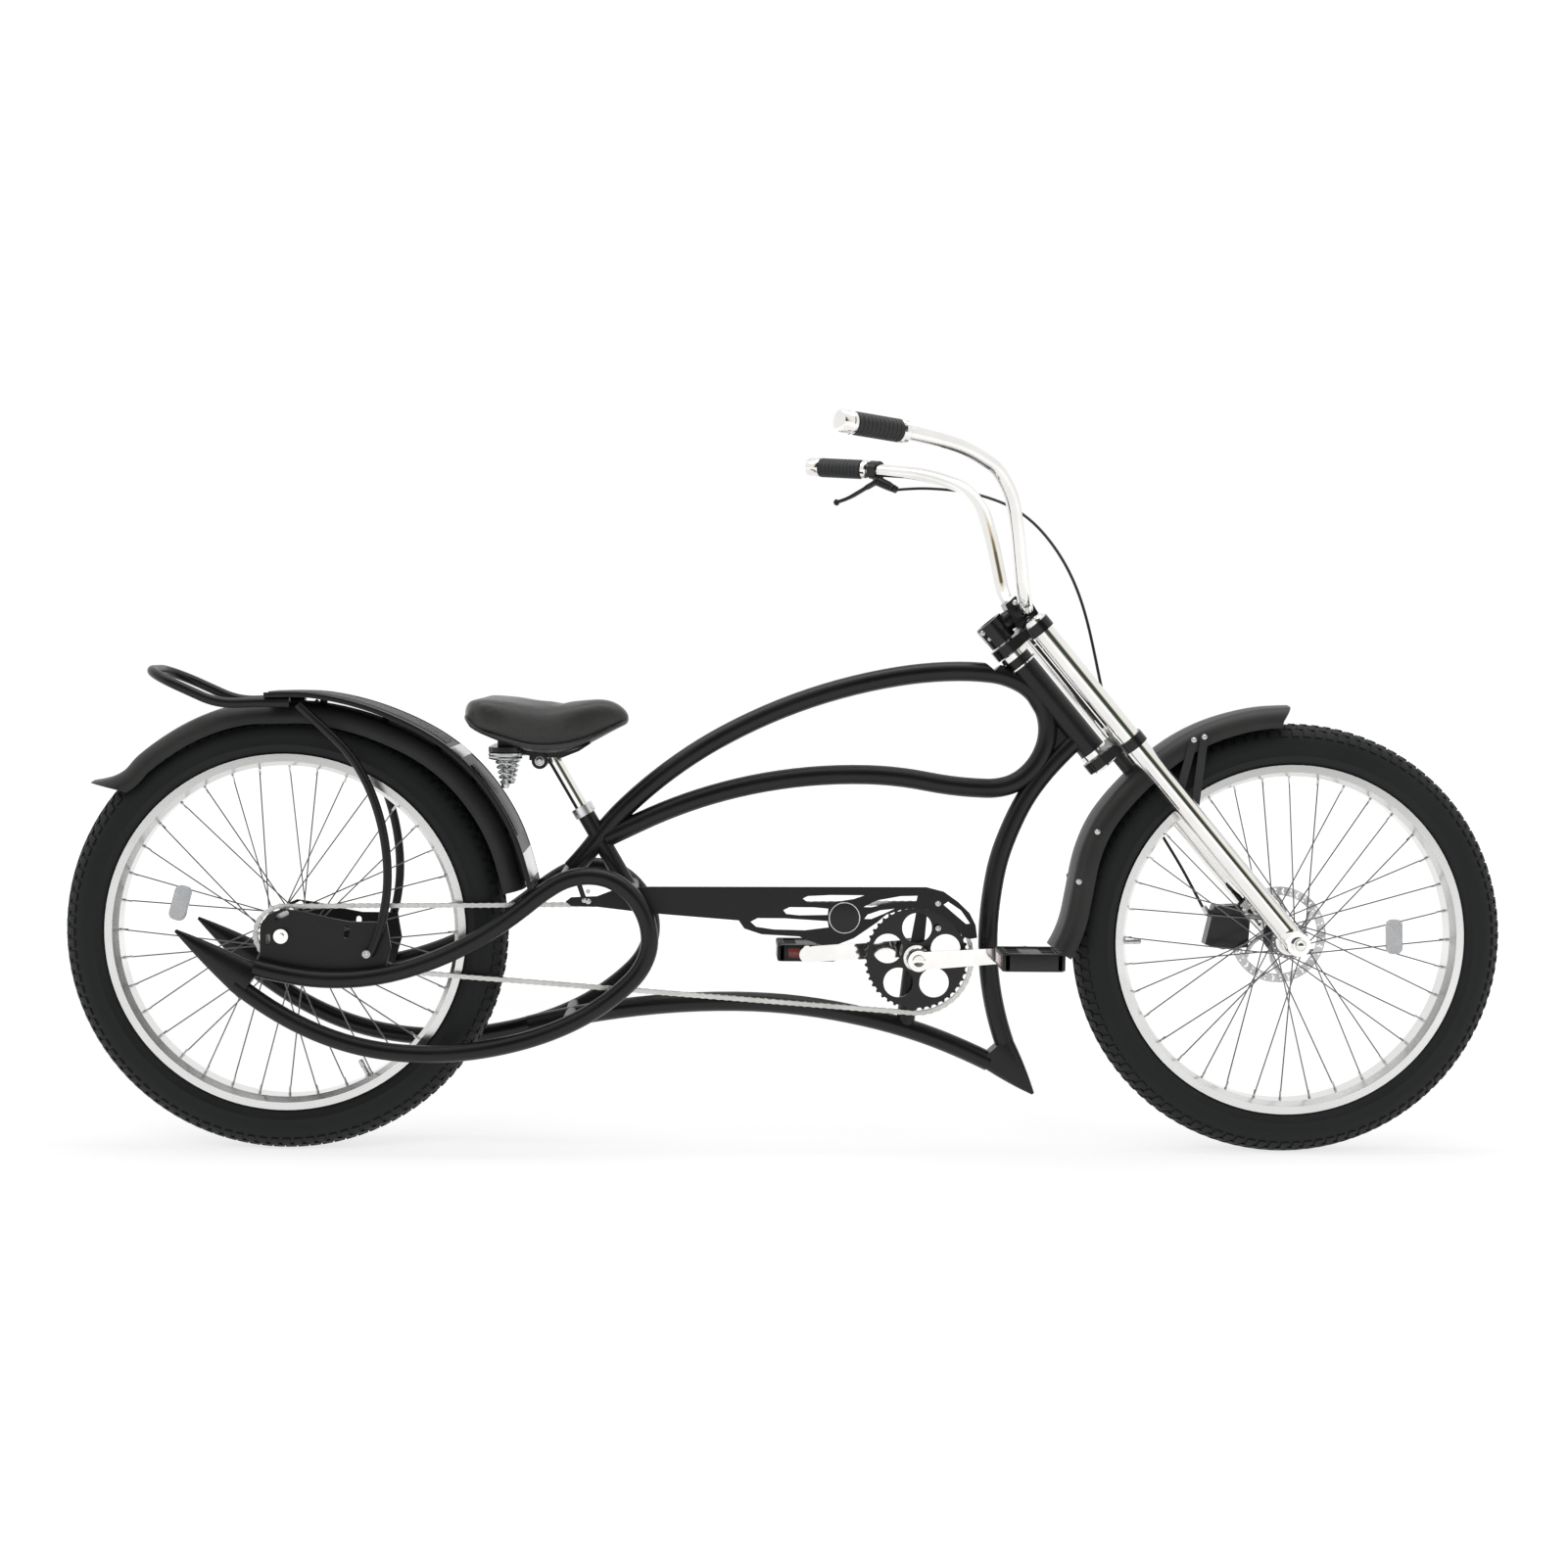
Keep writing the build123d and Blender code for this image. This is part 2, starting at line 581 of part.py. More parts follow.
def steerer():
    return rod(on_head(CROWN_LOW - 2), on_head(STEM_UP + STEM_HEIGHT - 2), STEERER_RADIUS)


def grips():
    line_start = at(*BAR_LINE[-2])
    line_end = at(*BAR_LINE[-1])
    direction = (line_end - line_start).normalized()
    start = line_end - direction * (GRIP_LENGTH - GRIP_OVERHANG)
    grip = rod(start, line_end + direction * GRIP_OVERHANG, GRIP_RADIUS)
    grip -= handlebar(BAR_RADIUS + SEAT_GAP)
    return Compound([grip, mirrored(grip)])


DECK_LINE = [(-25, 733, 2), (57, 732, -8), (159, 706, -21), (247, 662, -34), (309, 607, -49),
             (364, 523, -65), (394.5, 428, -76)]
REAR_FENDER_TAIL = [(-306, 590, 8), (-262, 604, 32), (-232, 634, 41), (-178, 673, 32),
                    (-110, 705, 19), (-60, 717, 9)]
REAR_FENDER_CUT = [(-312, 588), (-262, 577), (-200, 560), (-330, 520)]
FRONT_FENDER_LINE = placed([(-391, 337, 58), (-368, 398, 80), (-339, 523, 67), (-277, 611, 46),
                            (-174, 692, 28), (-80, 725, 12), (-8, 732, 1)])
FRONT_FENDER_TIP_CUT = placed([(-8, 733), (-24, 708), (-30, 690), (-1, 690), (-1, 760)])


def lowered(stations, depth):
    """The same line moved towards the inside of its curve."""
    return [(x + depth * math.sin(math.radians(h)), z - depth * math.cos(math.radians(h)), h)
            for x, z, h in stations]


def fender(line):
    """A rounded channel swept along a line: crown, corners and two skirts."""
    path = arc_path(line, 0)
    plane = Plane(origin=path @ 0, x_dir=at(0, 1, 0), z_dir=path % 0)
    half = FENDER_HALF_WIDTH
    flat = half - FENDER_CORNER
    bend_low = FENDER_CORNER + FENDER_CROWN
    diagonal = FENDER_CORNER * math.sqrt(0.5)
    edges = []
    for inset in (0.0, FENDER_THICKNESS):
        corner = FENDER_CORNER - inset
        rim_y = half - inset
        edges.append([
            Line((-rim_y, -FENDER_DROP), (-rim_y, -bend_low)),
            ThreePointArc((-rim_y, -bend_low),
                          (-flat - diagonal * corner / FENDER_CORNER,
                           -bend_low + diagonal * corner / FENDER_CORNER),
                          (-flat, -FENDER_CROWN - inset)),
            ThreePointArc((-flat, -FENDER_CROWN - inset), (0, -inset), (flat, -FENDER_CROWN - inset)),
            ThreePointArc((flat, -FENDER_CROWN - inset),
                          (flat + diagonal * corner / FENDER_CORNER,
                           -bend_low + diagonal * corner / FENDER_CORNER),
                          (rim_y, -bend_low)),
            Line((rim_y, -bend_low), (rim_y, -FENDER_DROP))])
    outer, inner = edges
    left = Line(outer[0] @ 0, inner[0] @ 0)
    right = Line(outer[-1] @ 1, inner[-1] @ 1)
    return sweep(plane * make_face([*outer, right, *inner, left]), path=path)


def rear_fender():
    line = REAR_FENDER_TAIL + lowered(DECK_LINE, DECK_THICKNESS + FENDER_GAP)
    return fender(line) - plate(REAR_FENDER_CUT, -FENDER_HALF_WIDTH - 5, FENDER_HALF_WIDTH + 5)


def front_fender():
    reach = FENDER_HALF_WIDTH + 5
    return fender(FRONT_FENDER_LINE) - plate(FRONT_FENDER_TIP_CUT, -reach, reach)


# ---- rack ---------------------------------------------------------------------------------
def rack_deck():
    """The curved strip over the rear wheel, with short posts that carry the fender."""
    deck = band(DECK_LINE, DECK_THICKNESS, -RACK_Y, RACK_Y)
    for x, z, h in DECK_LINE[:-1]:
        top = at(x, 0, z) + heading(h - 90) * (DECK_THICKNESS - 1)
        deck += rod(top, top + heading(h - 90) * (FENDER_GAP + 1 - SEAT_GAP), DECK_POST_RADIUS)
    return deck


RACK_LOOP_INNER = (14, -34)
RACK_LOOP_OUTER = [(-96, 716), (-208, 766)]


def rack_loop():
    """The handle behind the wheel: one bent tube whose ends run under the deck."""
    under = DECK_THICKNESS + RACK_TUBE_RADIUS + SEAT_GAP
    inset = RACK_Y - RACK_TUBE_RADIUS
    height = DECK_LINE[0][1] - under
    side = [(x, -inset, height) for x in RACK_LOOP_INNER]
    side += [(x, -RACK_Y, z) for x, z in RACK_LOOP_OUTER]
    other = [(x, -y, z) for x, y, z in reversed(side)]
    return tube(fillet_path(side + other), RACK_TUBE_RADIUS)


STAY_LINE = [(27, 716, -42), (130, 603, -63), (167, 457, -88), (139, 321, -115)]
STAY_Y = PLATE_Y + AXLE_PLATE_THICKNESS / 2 + SEAT_GAP + STAY_RADIUS


def rack_stays():
    stay = tube(arc_path(STAY_LINE, -STAY_Y), STAY_RADIUS)
    stay -= band(DECK_LINE, DECK_THICKNESS + SEAT_GAP, -RACK_Y - 20, RACK_Y + 20)
    return Compound([stay, mirrored(stay)])


# ---- chain guard --------------------------------------------------------------------------
GUARD_Y = -56.0
GUARD_THICKNESS = 2.0
GUARD_OUTLINE = placed([(446, 407), (455, 414), (496, 416), (524, 427), (579, 432), (-598, 435),
                        (-570, 428), (-547, 412), (-528, 394), (-518, 375), (-515, 354),
                        (-527, 352), (-539, 356), (-550, 372), (-574, 391), (-597, 400),
                        (-621, 401), (-639, 398), (-662, 390), (-676, 378), (-690, 368),
                        (-713, 352), (-738, 342), (-763, 340), (-787, 348), (-801, 354),
                        (-861, 357), (-889, 366), (-898, 379), (575, 390), (496, 399), (455, 400)])
GUARD_TAB = (WHEELBASE - 598.0, 427.0)
GUARD_REAR_TAB = ((476, 410), (468, 437))
GUARD_TAB_RADIUS = 4.0
GUARD_FLAMES = [
    placed([(-796, 415), (-788, 419), (-751, 421), (-697, 421), (-714, 415), (-751, 409),
            (-788, 409)]),
    placed([(-827, 396), (-817, 401), (-778, 401), (-755, 399), (-756, 389), (-801, 388),
            (-822, 390)]),
    placed([(-879, 377), (-868, 383), (-824, 383), (-756, 379), (-754, 369), (-792, 364),
            (-842, 365), (-870, 369)]),
    placed([(-699, 402), (-677, 413), (-640, 420), (-612, 421), (-614, 412), (-649, 410),
            (-686, 402)]),
    placed([(-697, 383), (-692, 390), (-672, 397), (-648, 400), (-667, 391), (-686, 383)]),
    placed([(-570, 407), (-563, 412), (-542, 398), (-527, 377), (-533, 376), (-551, 391)])]


def chain_guard():
    guard = plate(GUARD_OUTLINE, GUARD_Y - GUARD_THICKNESS / 2, GUARD_Y + GUARD_THICKNESS / 2)
    for flame in GUARD_FLAMES:
        guard -= plate(flame, GUARD_Y - 5, GUARD_Y + 5)
    for x, z in BRIDGES:
        guard -= shaft(x, z, BRIDGE_RADIUS + SEAT_GAP, GUARD_Y - 5, GUARD_Y + 5)
    loop_face = -LOOP_Y + LOOP_TUBE_RADIUS
    (x0, z0), (x1, z1) = GUARD_REAR_TAB
    guard += rod((x0, GUARD_Y, z0), (x1, loop_face - 6, z1), GUARD_TAB_RADIUS)
    face = -BB_HALF_WIDTH - SEAT_GAP
    back = face - GUARD_THICKNESS
    x, z = GUARD_TAB
    arm = plate([(BB_X - 12, BB_Z + 10), (BB_X + 12, BB_Z + 10), (x + 7, z + 5), (x - 7, z + 5)],
                back, face)
    arm += shaft(BB_X, BB_Z, BB_RADIUS + 3, back, face) + shaft(x, z, 5, GUARD_Y, face)
    arm -= shaft(BB_X, BB_Z, BB_BORE_RADIUS + 2, back - 5, face + 5)
    return guard + arm


# ---- seat ---------------------------------------------------------------------------------
# stations along the saddle: x, half width, top, underside
SADDLE_STATIONS = [(284, 58, 717, 693), (292, 92, 725, 684), (320, SADDLE_HALF_WIDTH, 729, 671),
                   (360, 112, 725, 655), (400, 84, 719, 643), (440, 55, 720, 643),
                   (480, 40, 727, 656), (515, 33, 726, 675), (536, 24, 714, 686),
                   (545, 12, 701, 690)]
SADDLE_FRAME_SIDE = [(340, 668), (340, 645), (384, 637), (400, 635), (437, 634), (464, 645),
                     (482, 657), (482, 668)]
CLAMP_CENTRE = (402.0, 629.0)
CLAMP_RADIUS = 13.0
CLAMP_NECK = 12.0
SPRING_X = 350.0
SPRING_Y = 56.0
SPRING_DEPTH = 86.0
SPRING_LENGTH = 43.0
SPRING_TOP = SADDLE_Z - SPRING_DEPTH
SPRING_FOOT = SPRING_TOP - SPRING_LENGTH
SPRING_TOP_RADIUS = 13.0
SPRING_FOOT_RADIUS = 5.0
SPRING_CUP = (27.0, 11.0)
SPRING_PLATE = (54.0, 8.0)


def saddle():
    """A loft through rounded sections, wide behind and narrow in front."""
    sections = []
    for x, half, top, low in SADDLE_STATIONS:
        corner = 0.8 * min(half, (top - low) / 2)
        plane = Plane(origin=(x, 0, (top + low) / 2), x_dir=(0, 1, 0), z_dir=(1, 0, 0))
        sections.append(plane * RectangleRounded(2 * half, top - low, corner))
    return loft(sections)


def saddle_springs():
    """Two tapering coil springs, each under its cup."""
    springs = []
    radius, height = SPRING_CUP
    for side in (-1, 1):
        spring = Pos(SPRING_X, side * SPRING_Y, SPRING_FOOT) * Cone(
            SPRING_FOOT_RADIUS, SPRING_TOP_RADIUS, SPRING_TOP - SPRING_FOOT,
            align=(Align.CENTER, Align.CENTER, Align.MIN))
        spring += Pos(SPRING_X, side * SPRING_Y, SPRING_TOP) * Cylinder(
            radius, height, align=(Align.CENTER, Align.CENTER, Align.MIN))
        springs.append(spring)
    return Compound(springs)


def saddle_frame():
    """The plate under the cushion, the bar between the springs and the clamp on the seatpost."""
    x, z = CLAMP_CENTRE
    body = plate(SADDLE_FRAME_SIDE, -22, 22)
    width, thick = SPRING_PLATE
    low = SPRING_TOP + SPRING_CUP[1] + SEAT_GAP
    bar = SlotOverall(2 * SPRING_Y + width, width, rotation=90)
    body += Pos(SPRING_X, 0, low) * extrude(bar, amount=thick, dir=(0, 0, 1))
    body += Pos(SPRING_X, 0, low) * Box(28, 84, 30, align=(Align.CENTER, Align.CENTER, Align.MIN))
    body += plate([(x - 18, z + 21), (x - 18, z), (x + 8, z), (x + 8, z + 16)], -CLAMP_NECK,
                  CLAMP_NECK)
    body += shaft(x, z, CLAMP_RADIUS, -30, 30)
    return body - saddle()


def seatpost():
    (x0, z0), (x1, z1) = SEAT_LINE
    direction = (at(x1, 0, z1) - at(x0, 0, z0)).normalized()
    top = at(x0, 0, z0) - direction * SEATPOST_REACH
    foot = at(x0, 0, z0) + direction * SEATPOST_DEPTH
    return rod(top, foot, SEATPOST_RADIUS) - shaft(*CLAMP_CENTRE, CLAMP_RADIUS + SEAT_GAP, -40, 40)


def seatpost_room():
    """The bore that the seatpost slides in."""
    (x0, z0), (x1, z1) = SEAT_LINE
    start = at(x0, 0, z0)
    direction = (at(x1, 0, z1) - start).normalized()
    return rod(start - direction * 5, start + direction * (SEATPOST_DEPTH + 1),
               SEATPOST_RADIUS + SEAT_GAP)


def seatpost_sleeve():
    """The room that the top of the seatpost needs in the saddle frame."""
    (x0, z0), (x1, z1) = SEAT_LINE
    start = at(x0, 0, z0)
    direction = (at(x1, 0, z1) - start).normalized()
    top = start - direction * (SEATPOST_REACH + SEAT_GAP)
    return rod(top, start, SEATPOST_RADIUS + SEAT_GAP) - shaft(*CLAMP_CENTRE, CLAMP_RADIUS, -40, 40)


def seat_tube():
    (x0, z0), (x1, z1) = SEAT_LINE
    return rod((x0, 0, z0), (x1, 0, z1), SEAT_TUBE_RADIUS) - seatpost_room()


def seat_collar():
    (x0, z0), (x1, z1) = SEAT_LINE
    direction = (at(x1, 0, z1) - at(x0, 0, z0)).normalized()
    start = at(x0, 0, z0) - direction * 3
    collar = rod(start, start + direction * 16, SEAT_TUBE_RADIUS + 4)
    collar -= rod(start - direction * 5, start + direction * 3, SEATPOST_RADIUS + SEAT_GAP)
    return collar - rod(start + direction * 2.9, start + direction * 20, SEAT_TUBE_RADIUS + SEAT_GAP)


# ---- front brake --------------------------------------------------------------------------
ROTOR_Y = 44.0
ROTOR_RADIUS = 80.0
ROTOR_THICKNESS = 2.0
ROTOR_ARM_REACH = 66.0
ROTOR_ARM_SWEEP = 0.5
CALIPER = (WHEELBASE - 89.0, 364.0)
CALIPER_ARM = (WHEELBASE - 48.0, 410.0)
CALIPER_OUTLINE = [(-36, -30), (-6, -38), (36, -34), (38, 8), (20, 36), (-22, 34)]


def brake_rotor():
    disc = shaft(*FRONT, ROTOR_RADIUS, ROTOR_Y - ROTOR_THICKNESS / 2, ROTOR_Y + ROTOR_THICKNESS / 2)
    disc -= shaft(*FRONT, ROTOR_RADIUS - 15, ROTOR_Y - 5, ROTOR_Y + 5)
    for index in range(6):
        angle = math.radians(60 * index)
        inner = (FRONT[0] + 20 * math.cos(angle), ROTOR_Y, FRONT[1] + 20 * math.sin(angle))
        swept = angle + ROTOR_ARM_SWEEP
        outer = (FRONT[0] + ROTOR_ARM_REACH * math.cos(swept), ROTOR_Y,
                 FRONT[1] + ROTOR_ARM_REACH * math.sin(swept))
        spoke = plate([(inner[0], inner[2] - 3), (inner[0], inner[2] + 3), (outer[0], outer[2] + 3),
                       (outer[0], outer[2] - 3)], ROTOR_Y - 1, ROTOR_Y + 1)
        disc += spoke
    disc += shaft(*FRONT, 24, ROTOR_Y - 1, ROTOR_Y + 1)
    return disc - shaft(*FRONT, HUB_RADIUS + SEAT_GAP, ROTOR_Y - 5, ROTOR_Y + 5)


def brake_caliper():
    """A block round the edge of the rotor, carried by an arm from the left fork leg."""
    x, z = CALIPER
    body = plate([(x + a, z + b) for a, b in CALIPER_OUTLINE], ROTOR_Y - 13, ROTOR_Y + 15)
    slot_room = plate([(x - 2, z - 60), (x + 60, z - 60), (x + 60, z + 60), (x - 2, z + 60)],
                      ROTOR_Y - 4, ROTOR_Y + 4)
    arm = rod((x + 20, ROTOR_Y + 10, z + 20), (CALIPER_ARM[0], FORK_LEG_Y, CALIPER_ARM[1]), 6)
    leg = rod(on_head(0, FORK_OFFSET, FORK_LEG_Y), on_head(200, FORK_OFFSET, FORK_LEG_Y),
              FORK_LEG_RADIUS + SEAT_GAP)
    return (body - slot_room) + arm - leg - cable_socket(-1)


CABLE_RADIUS = 2.5
CABLE_ROUTE = [(996, 306, 1092), (1030, 297, 1095), (1070, 282, 1093), (1112, 262, 1088),
               (1152, 238, 1076), (1188, 212, 1059), (1221, 187, 1032), (1249, 164, 996),
               (1272, 145, 956), (1290, 130, 912), (1303, 118, 866), (1313, 110, 820),
               (1323, 105, 772), (1334, 103, 724), (1348, 103, 678), (1365, 102, 632),
               (1386, 98, 588), (1410, 91, 544), (1435, 80, 502), (1460, 68, 460),
               (1482, 58, 418), (1502, 52, 380)]
LEVER_BODY = (WHEELBASE - 636.0, 316.0, 1099.0)
LEVER_PIVOT = (WHEELBASE - 654.0, 326.0, 1108.0)
LEVER_BLADE = placed([(-676, 340, 1096), (-702, 358, 1080), (-728, 376, 1072)])


def brake_cable():
    path = fillet_path(CABLE_ROUTE)
    cable = tube(path, CABLE_RADIUS)
    expected = path.length * math.pi * CABLE_RADIUS ** 2
    print("brake cable length %.1f, volume %.1f of %.1f" % (path.length, cable.volume, expected))
    return cable


def cable_socket(end):
    """The room that one end of the cable needs in the piece it enters."""
    points = CABLE_ROUTE[:2] if end == 0 else CABLE_ROUTE[-2:]
    return rod(points[0], points[1], CABLE_RADIUS + SEAT_GAP)


def brake_lever():
    """A clamp on the left bar, the body that the cable enters and the blade below the grip."""
    start = at(*BAR_LINE[-2][:1], -BAR_LINE[-2][1], BAR_LINE[-2][2])
    end = at(*BAR_LINE[-3][:1], -BAR_LINE[-3][1], BAR_LINE[-3][2])
    direction = (end - start).normalized()
    clamp = rod(start - direction * 10, start + direction * 9, BAR_RADIUS + 5)
    clamp -= rod(start - direction * 60, start + direction * 40, BAR_RADIUS + SEAT_GAP)
    pivot = Vector(*LEVER_PIVOT)
    body = clamp + rod(start - direction * 3 + at(0, 0, -13), pivot, 8)
    body += rod(pivot, LEVER_BODY, 8) + rod(LEVER_BODY, CABLE_ROUTE[0], 7)
    blade = [pivot, *LEVER_BLADE]
    for before, after in zip(blade, blade[1:]):
        body += rod(before, after, 4)
    for corner in LEVER_BLADE:
        body += Pos(*corner) * Sphere(4)
    return body - handlebar(BAR_RADIUS + SEAT_GAP) - cable_socket(0)


FENDER_STRAP = (13.0, 3.0)
FENDER_STRAPS = [placed([(-171, 676), (-194, 582)]), placed([(-154, 681), (-168, 552)])]


def fender_straps():
    """Flat bars from both fork legs to the skirts of the front fender, and the crown bracket."""
    width, thick = FENDER_STRAP
    inner = FENDER_HALF_WIDTH + SEAT_GAP
    body = rod(on_head(380, 26), on_head(CROWN_LOW - SEAT_GAP, 26), 11)
    pieces = []
    for side in (-1, 1):
        for (x0, z0), (x1, z1) in FENDER_STRAPS:
            length = math.hypot(x1 - x0, z1 - z0)
            nx = -(z1 - z0) / length * width / 2
            nz = (x1 - x0) / length * width / 2
            bar = plate([(x0 + nx, z0 + nz), (x1 + nx, z1 + nz), (x1 - nx, z1 - nz),
                         (x0 - nx, z0 - nz)], side * inner, side * (inner + thick))
            bar += shaft(x1, z1, 6, side * inner, side * FORK_LEG_Y)
            leg = rod(on_head(0, FORK_OFFSET, side * FORK_LEG_Y),
                      on_head(CROWN_LOW, FORK_OFFSET, side * FORK_LEG_Y),
                      FORK_LEG_RADIUS + SEAT_GAP)
            pieces.append(bar - leg)
    body -= band(FRONT_FENDER_LINE, 60, -60, 60)
    return Compound([body, *pieces])


REFLECTOR_RADIUS = 175.0
REFLECTOR_Y = -18.0
REFLECTOR_SIZE = (28.0, 58.0, 8.0)


def spoke_reflector(x, z, angle):
    centre = at(x + REFLECTOR_RADIUS * math.cos(angle), REFLECTOR_Y,
                z + REFLECTOR_RADIUS * math.sin(angle))
    plane = Plane(origin=centre, x_dir=(math.cos(angle), 0, math.sin(angle)), z_dir=(0, -1, 0))
    return plane * Box(*REFLECTOR_SIZE)


def wheel(x, z, prefix, reflector_angle):
    """The pieces that both wheels share."""
    hub = hub_and_spokes(x, z)
    reflector = spoke_reflector(x, z, math.radians(reflector_angle)) - hub
    return {prefix + "_tyre": tyre(x, z), prefix + "_rim": rim(x, z), prefix + "_hub": hub,
            prefix + "_spoke_reflector": reflector}


# ---- assembly -----------------------------------------------------------------------------
def frame_pieces():
    loop_right = side_loop()
    loop_left = mirrored(loop_right)
    reach = LOOP_Y
    bridges = [shaft(x, z, BRIDGE_RADIUS, -reach, reach) for x, z in BRIDGES]
    bridges = [bar - loop_right - loop_left for bar in bridges]
    head = head_tube()
    clear = rod(on_head(HEAD_LOW_UP - 20), on_head(HEAD_TOP_UP + 20), HEAD_TUBE_RADIUS - 1)
    upper = tube(arc_path(UPPER_LINE, 0), MAIN_TUBE_RADIUS)
    upper += rod((UPPER_LINE[-1][0], 0, UPPER_LINE[-1][1]), (UPPER_END[0], 0, UPPER_END[1]),
                 MAIN_TUBE_RADIUS)
    upper += plate(GUSSET, -GUSSET_THICKNESS / 2, GUSSET_THICKNESS / 2)
    upper = upper - head - clear
    upper = upper - bridges[0] - bridges[1] - seatpost_room()
    upper -= rod(on_head(CROWN_HIGH - CROWN_CLEARANCE), on_head(CROWN_HIGH + 60), CROWN_SWEEP)
    upper -= rod(on_head(HEAD_TOP_UP), on_head(HEAD_TOP_UP + 30), CUP_RADIUS + SEAT_GAP)
    bottom = keel() - head - clear - upper - bridges[2]
    shell = bottom_bracket() - bottom
    plate_right = axle_plate() - loop_right
    seat = seat_tube() - upper - bridges[1]
    return {
        "head_tube": head,
        "headset_cups": headset_cups(),
        "upper_frame_tube": upper,
        "keel_tubes": bottom,
        "bottom_bracket": shell,
        "seat_tube": seat,
        "side_loop_right": loop_right,
        "side_loop_left": loop_left,
        "loop_bridges": Compound(bridges),
        "axle_plates": Compound([plate_right, mirrored(plate_right)]),
        "rear_axle": axle(*REAR, PLATE_Y + 16, PLATE_Y + AXLE_PLATE_THICKNESS / 2 + SEAT_GAP),
        "rear_fender": rear_fender(),
        "rack_deck": rack_deck(),
        "rack_loop": rack_loop(),
        "rack_stays": rack_stays(),
        "chain_guard": chain_guard(),
        "chain": chain(),
        "saddle": saddle(),
        "saddle_springs": saddle_springs(),
        "saddle_frame": saddle_frame() - seatpost_sleeve(),
        "seatpost": seatpost(),
        "seat_collar": seat_collar() - upper,
    }


def steering_pieces():
    return {
        "fork_legs": fork_legs(),
        "fork_crowns": Compound([crown(CROWN_LOW), crown(CROWN_HIGH)]),
        "steerer": steerer(),
        "handlebar_stem": stem(),
        "handlebar": handlebar(),
        "grips": grips(),
        "brake_lever": brake_lever(),
        "brake_cable": brake_cable(),
        "brake_caliper": brake_caliper(),
        "front_fender": front_fender(),
        "fender_straps": fender_straps(),
        "front_axle": axle(*FRONT, FORK_LEG_Y + 24, FORK_LEG_Y + FORK_EYE_HALF + SEAT_GAP),
    }


def wheel_pieces():
    return {
        **wheel(*REAR, "rear", 165),
        **wheel(*FRONT, "front", 2),
        "rear_sprocket": sprocket(),
        "brake_rotor": brake_rotor(),
    }


def drive_pieces():
    return {
        "chainring": chainring(),
        "crank_arms": crank_arms(),
        "crank_spindle": crank_spindle(),
        "pedal_right": pedal(-1, 1),
        "pedal_left": pedal(1, -1),
    }


def main():
    os.makedirs("parts", exist_ok=True)
    pieces = {**frame_pieces(), **steering_pieces(), **wheel_pieces(), **drive_pieces()}
    for name, shape in pieces.items():
        export_step(Location((-SADDLE_X, 0, -SADDLE_Z)) * shape, f"parts/{name}.step")


main()
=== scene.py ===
import math

import bmesh
import bpy
from mathutils import Matrix, Vector


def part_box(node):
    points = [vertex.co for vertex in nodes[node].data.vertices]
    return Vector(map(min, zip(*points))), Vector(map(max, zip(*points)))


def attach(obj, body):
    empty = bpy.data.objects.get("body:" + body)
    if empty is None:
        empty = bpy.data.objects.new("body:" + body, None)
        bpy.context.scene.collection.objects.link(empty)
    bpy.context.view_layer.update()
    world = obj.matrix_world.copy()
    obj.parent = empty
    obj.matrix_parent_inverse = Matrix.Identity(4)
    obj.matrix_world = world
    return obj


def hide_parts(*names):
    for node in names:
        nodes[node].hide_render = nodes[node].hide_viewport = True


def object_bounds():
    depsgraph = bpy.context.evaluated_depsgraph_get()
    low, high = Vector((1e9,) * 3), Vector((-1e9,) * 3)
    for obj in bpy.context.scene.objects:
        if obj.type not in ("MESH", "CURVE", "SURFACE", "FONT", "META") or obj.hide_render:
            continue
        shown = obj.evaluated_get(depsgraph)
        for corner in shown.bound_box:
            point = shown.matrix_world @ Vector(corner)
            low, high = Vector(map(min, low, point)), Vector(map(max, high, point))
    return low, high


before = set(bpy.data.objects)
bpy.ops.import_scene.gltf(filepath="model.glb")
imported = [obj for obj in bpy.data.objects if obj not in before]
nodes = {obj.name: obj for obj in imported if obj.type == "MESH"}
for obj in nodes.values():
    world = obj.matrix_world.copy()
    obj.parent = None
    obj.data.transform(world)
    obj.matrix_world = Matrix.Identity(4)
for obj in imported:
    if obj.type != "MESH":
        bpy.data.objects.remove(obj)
cad_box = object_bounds()

# Where the frame's origin, on the saddle, lies in a road frame that starts on the ground
# under the rear axle. Lengths below are in millimetres of that road frame.
RIDER = Vector((410.0, 0.0, 719.0))


def road(x, y, z):
    """A point of the road frame, in metres of the model's own frame."""
    return (Vector((x, y, z)) - RIDER) / 1000


def centre(node):
    """The middle of a construction node's box."""
    low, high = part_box(node)
    return (Vector(low) + Vector(high)) / 2


def shown(name, data):
    """A new object in the scene with this data."""
    made = bpy.data.objects.new(name, data)
    bpy.context.scene.collection.objects.link(made)
    return made


REAR_WHEEL = centre("rear_tyre")
FRONT_WHEEL = centre("front_tyre")
ROAD_LEVEL = cad_box[0][2]


# ---- camera, light and floor --------------------------------------------------------------
# The lens and its sensor in millimetres, the camera's place in the road frame and its turn in
# radians.
SENSOR = 36.0
LENS = 49.815
FAR_CLIP = 100.0
CAMERA_PLACE = (649.17, -3500.0, 817.84)
CAMERA_YAW, CAMERA_PITCH, CAMERA_ROLL = -0.0413072, -0.0636743, -0.0132322


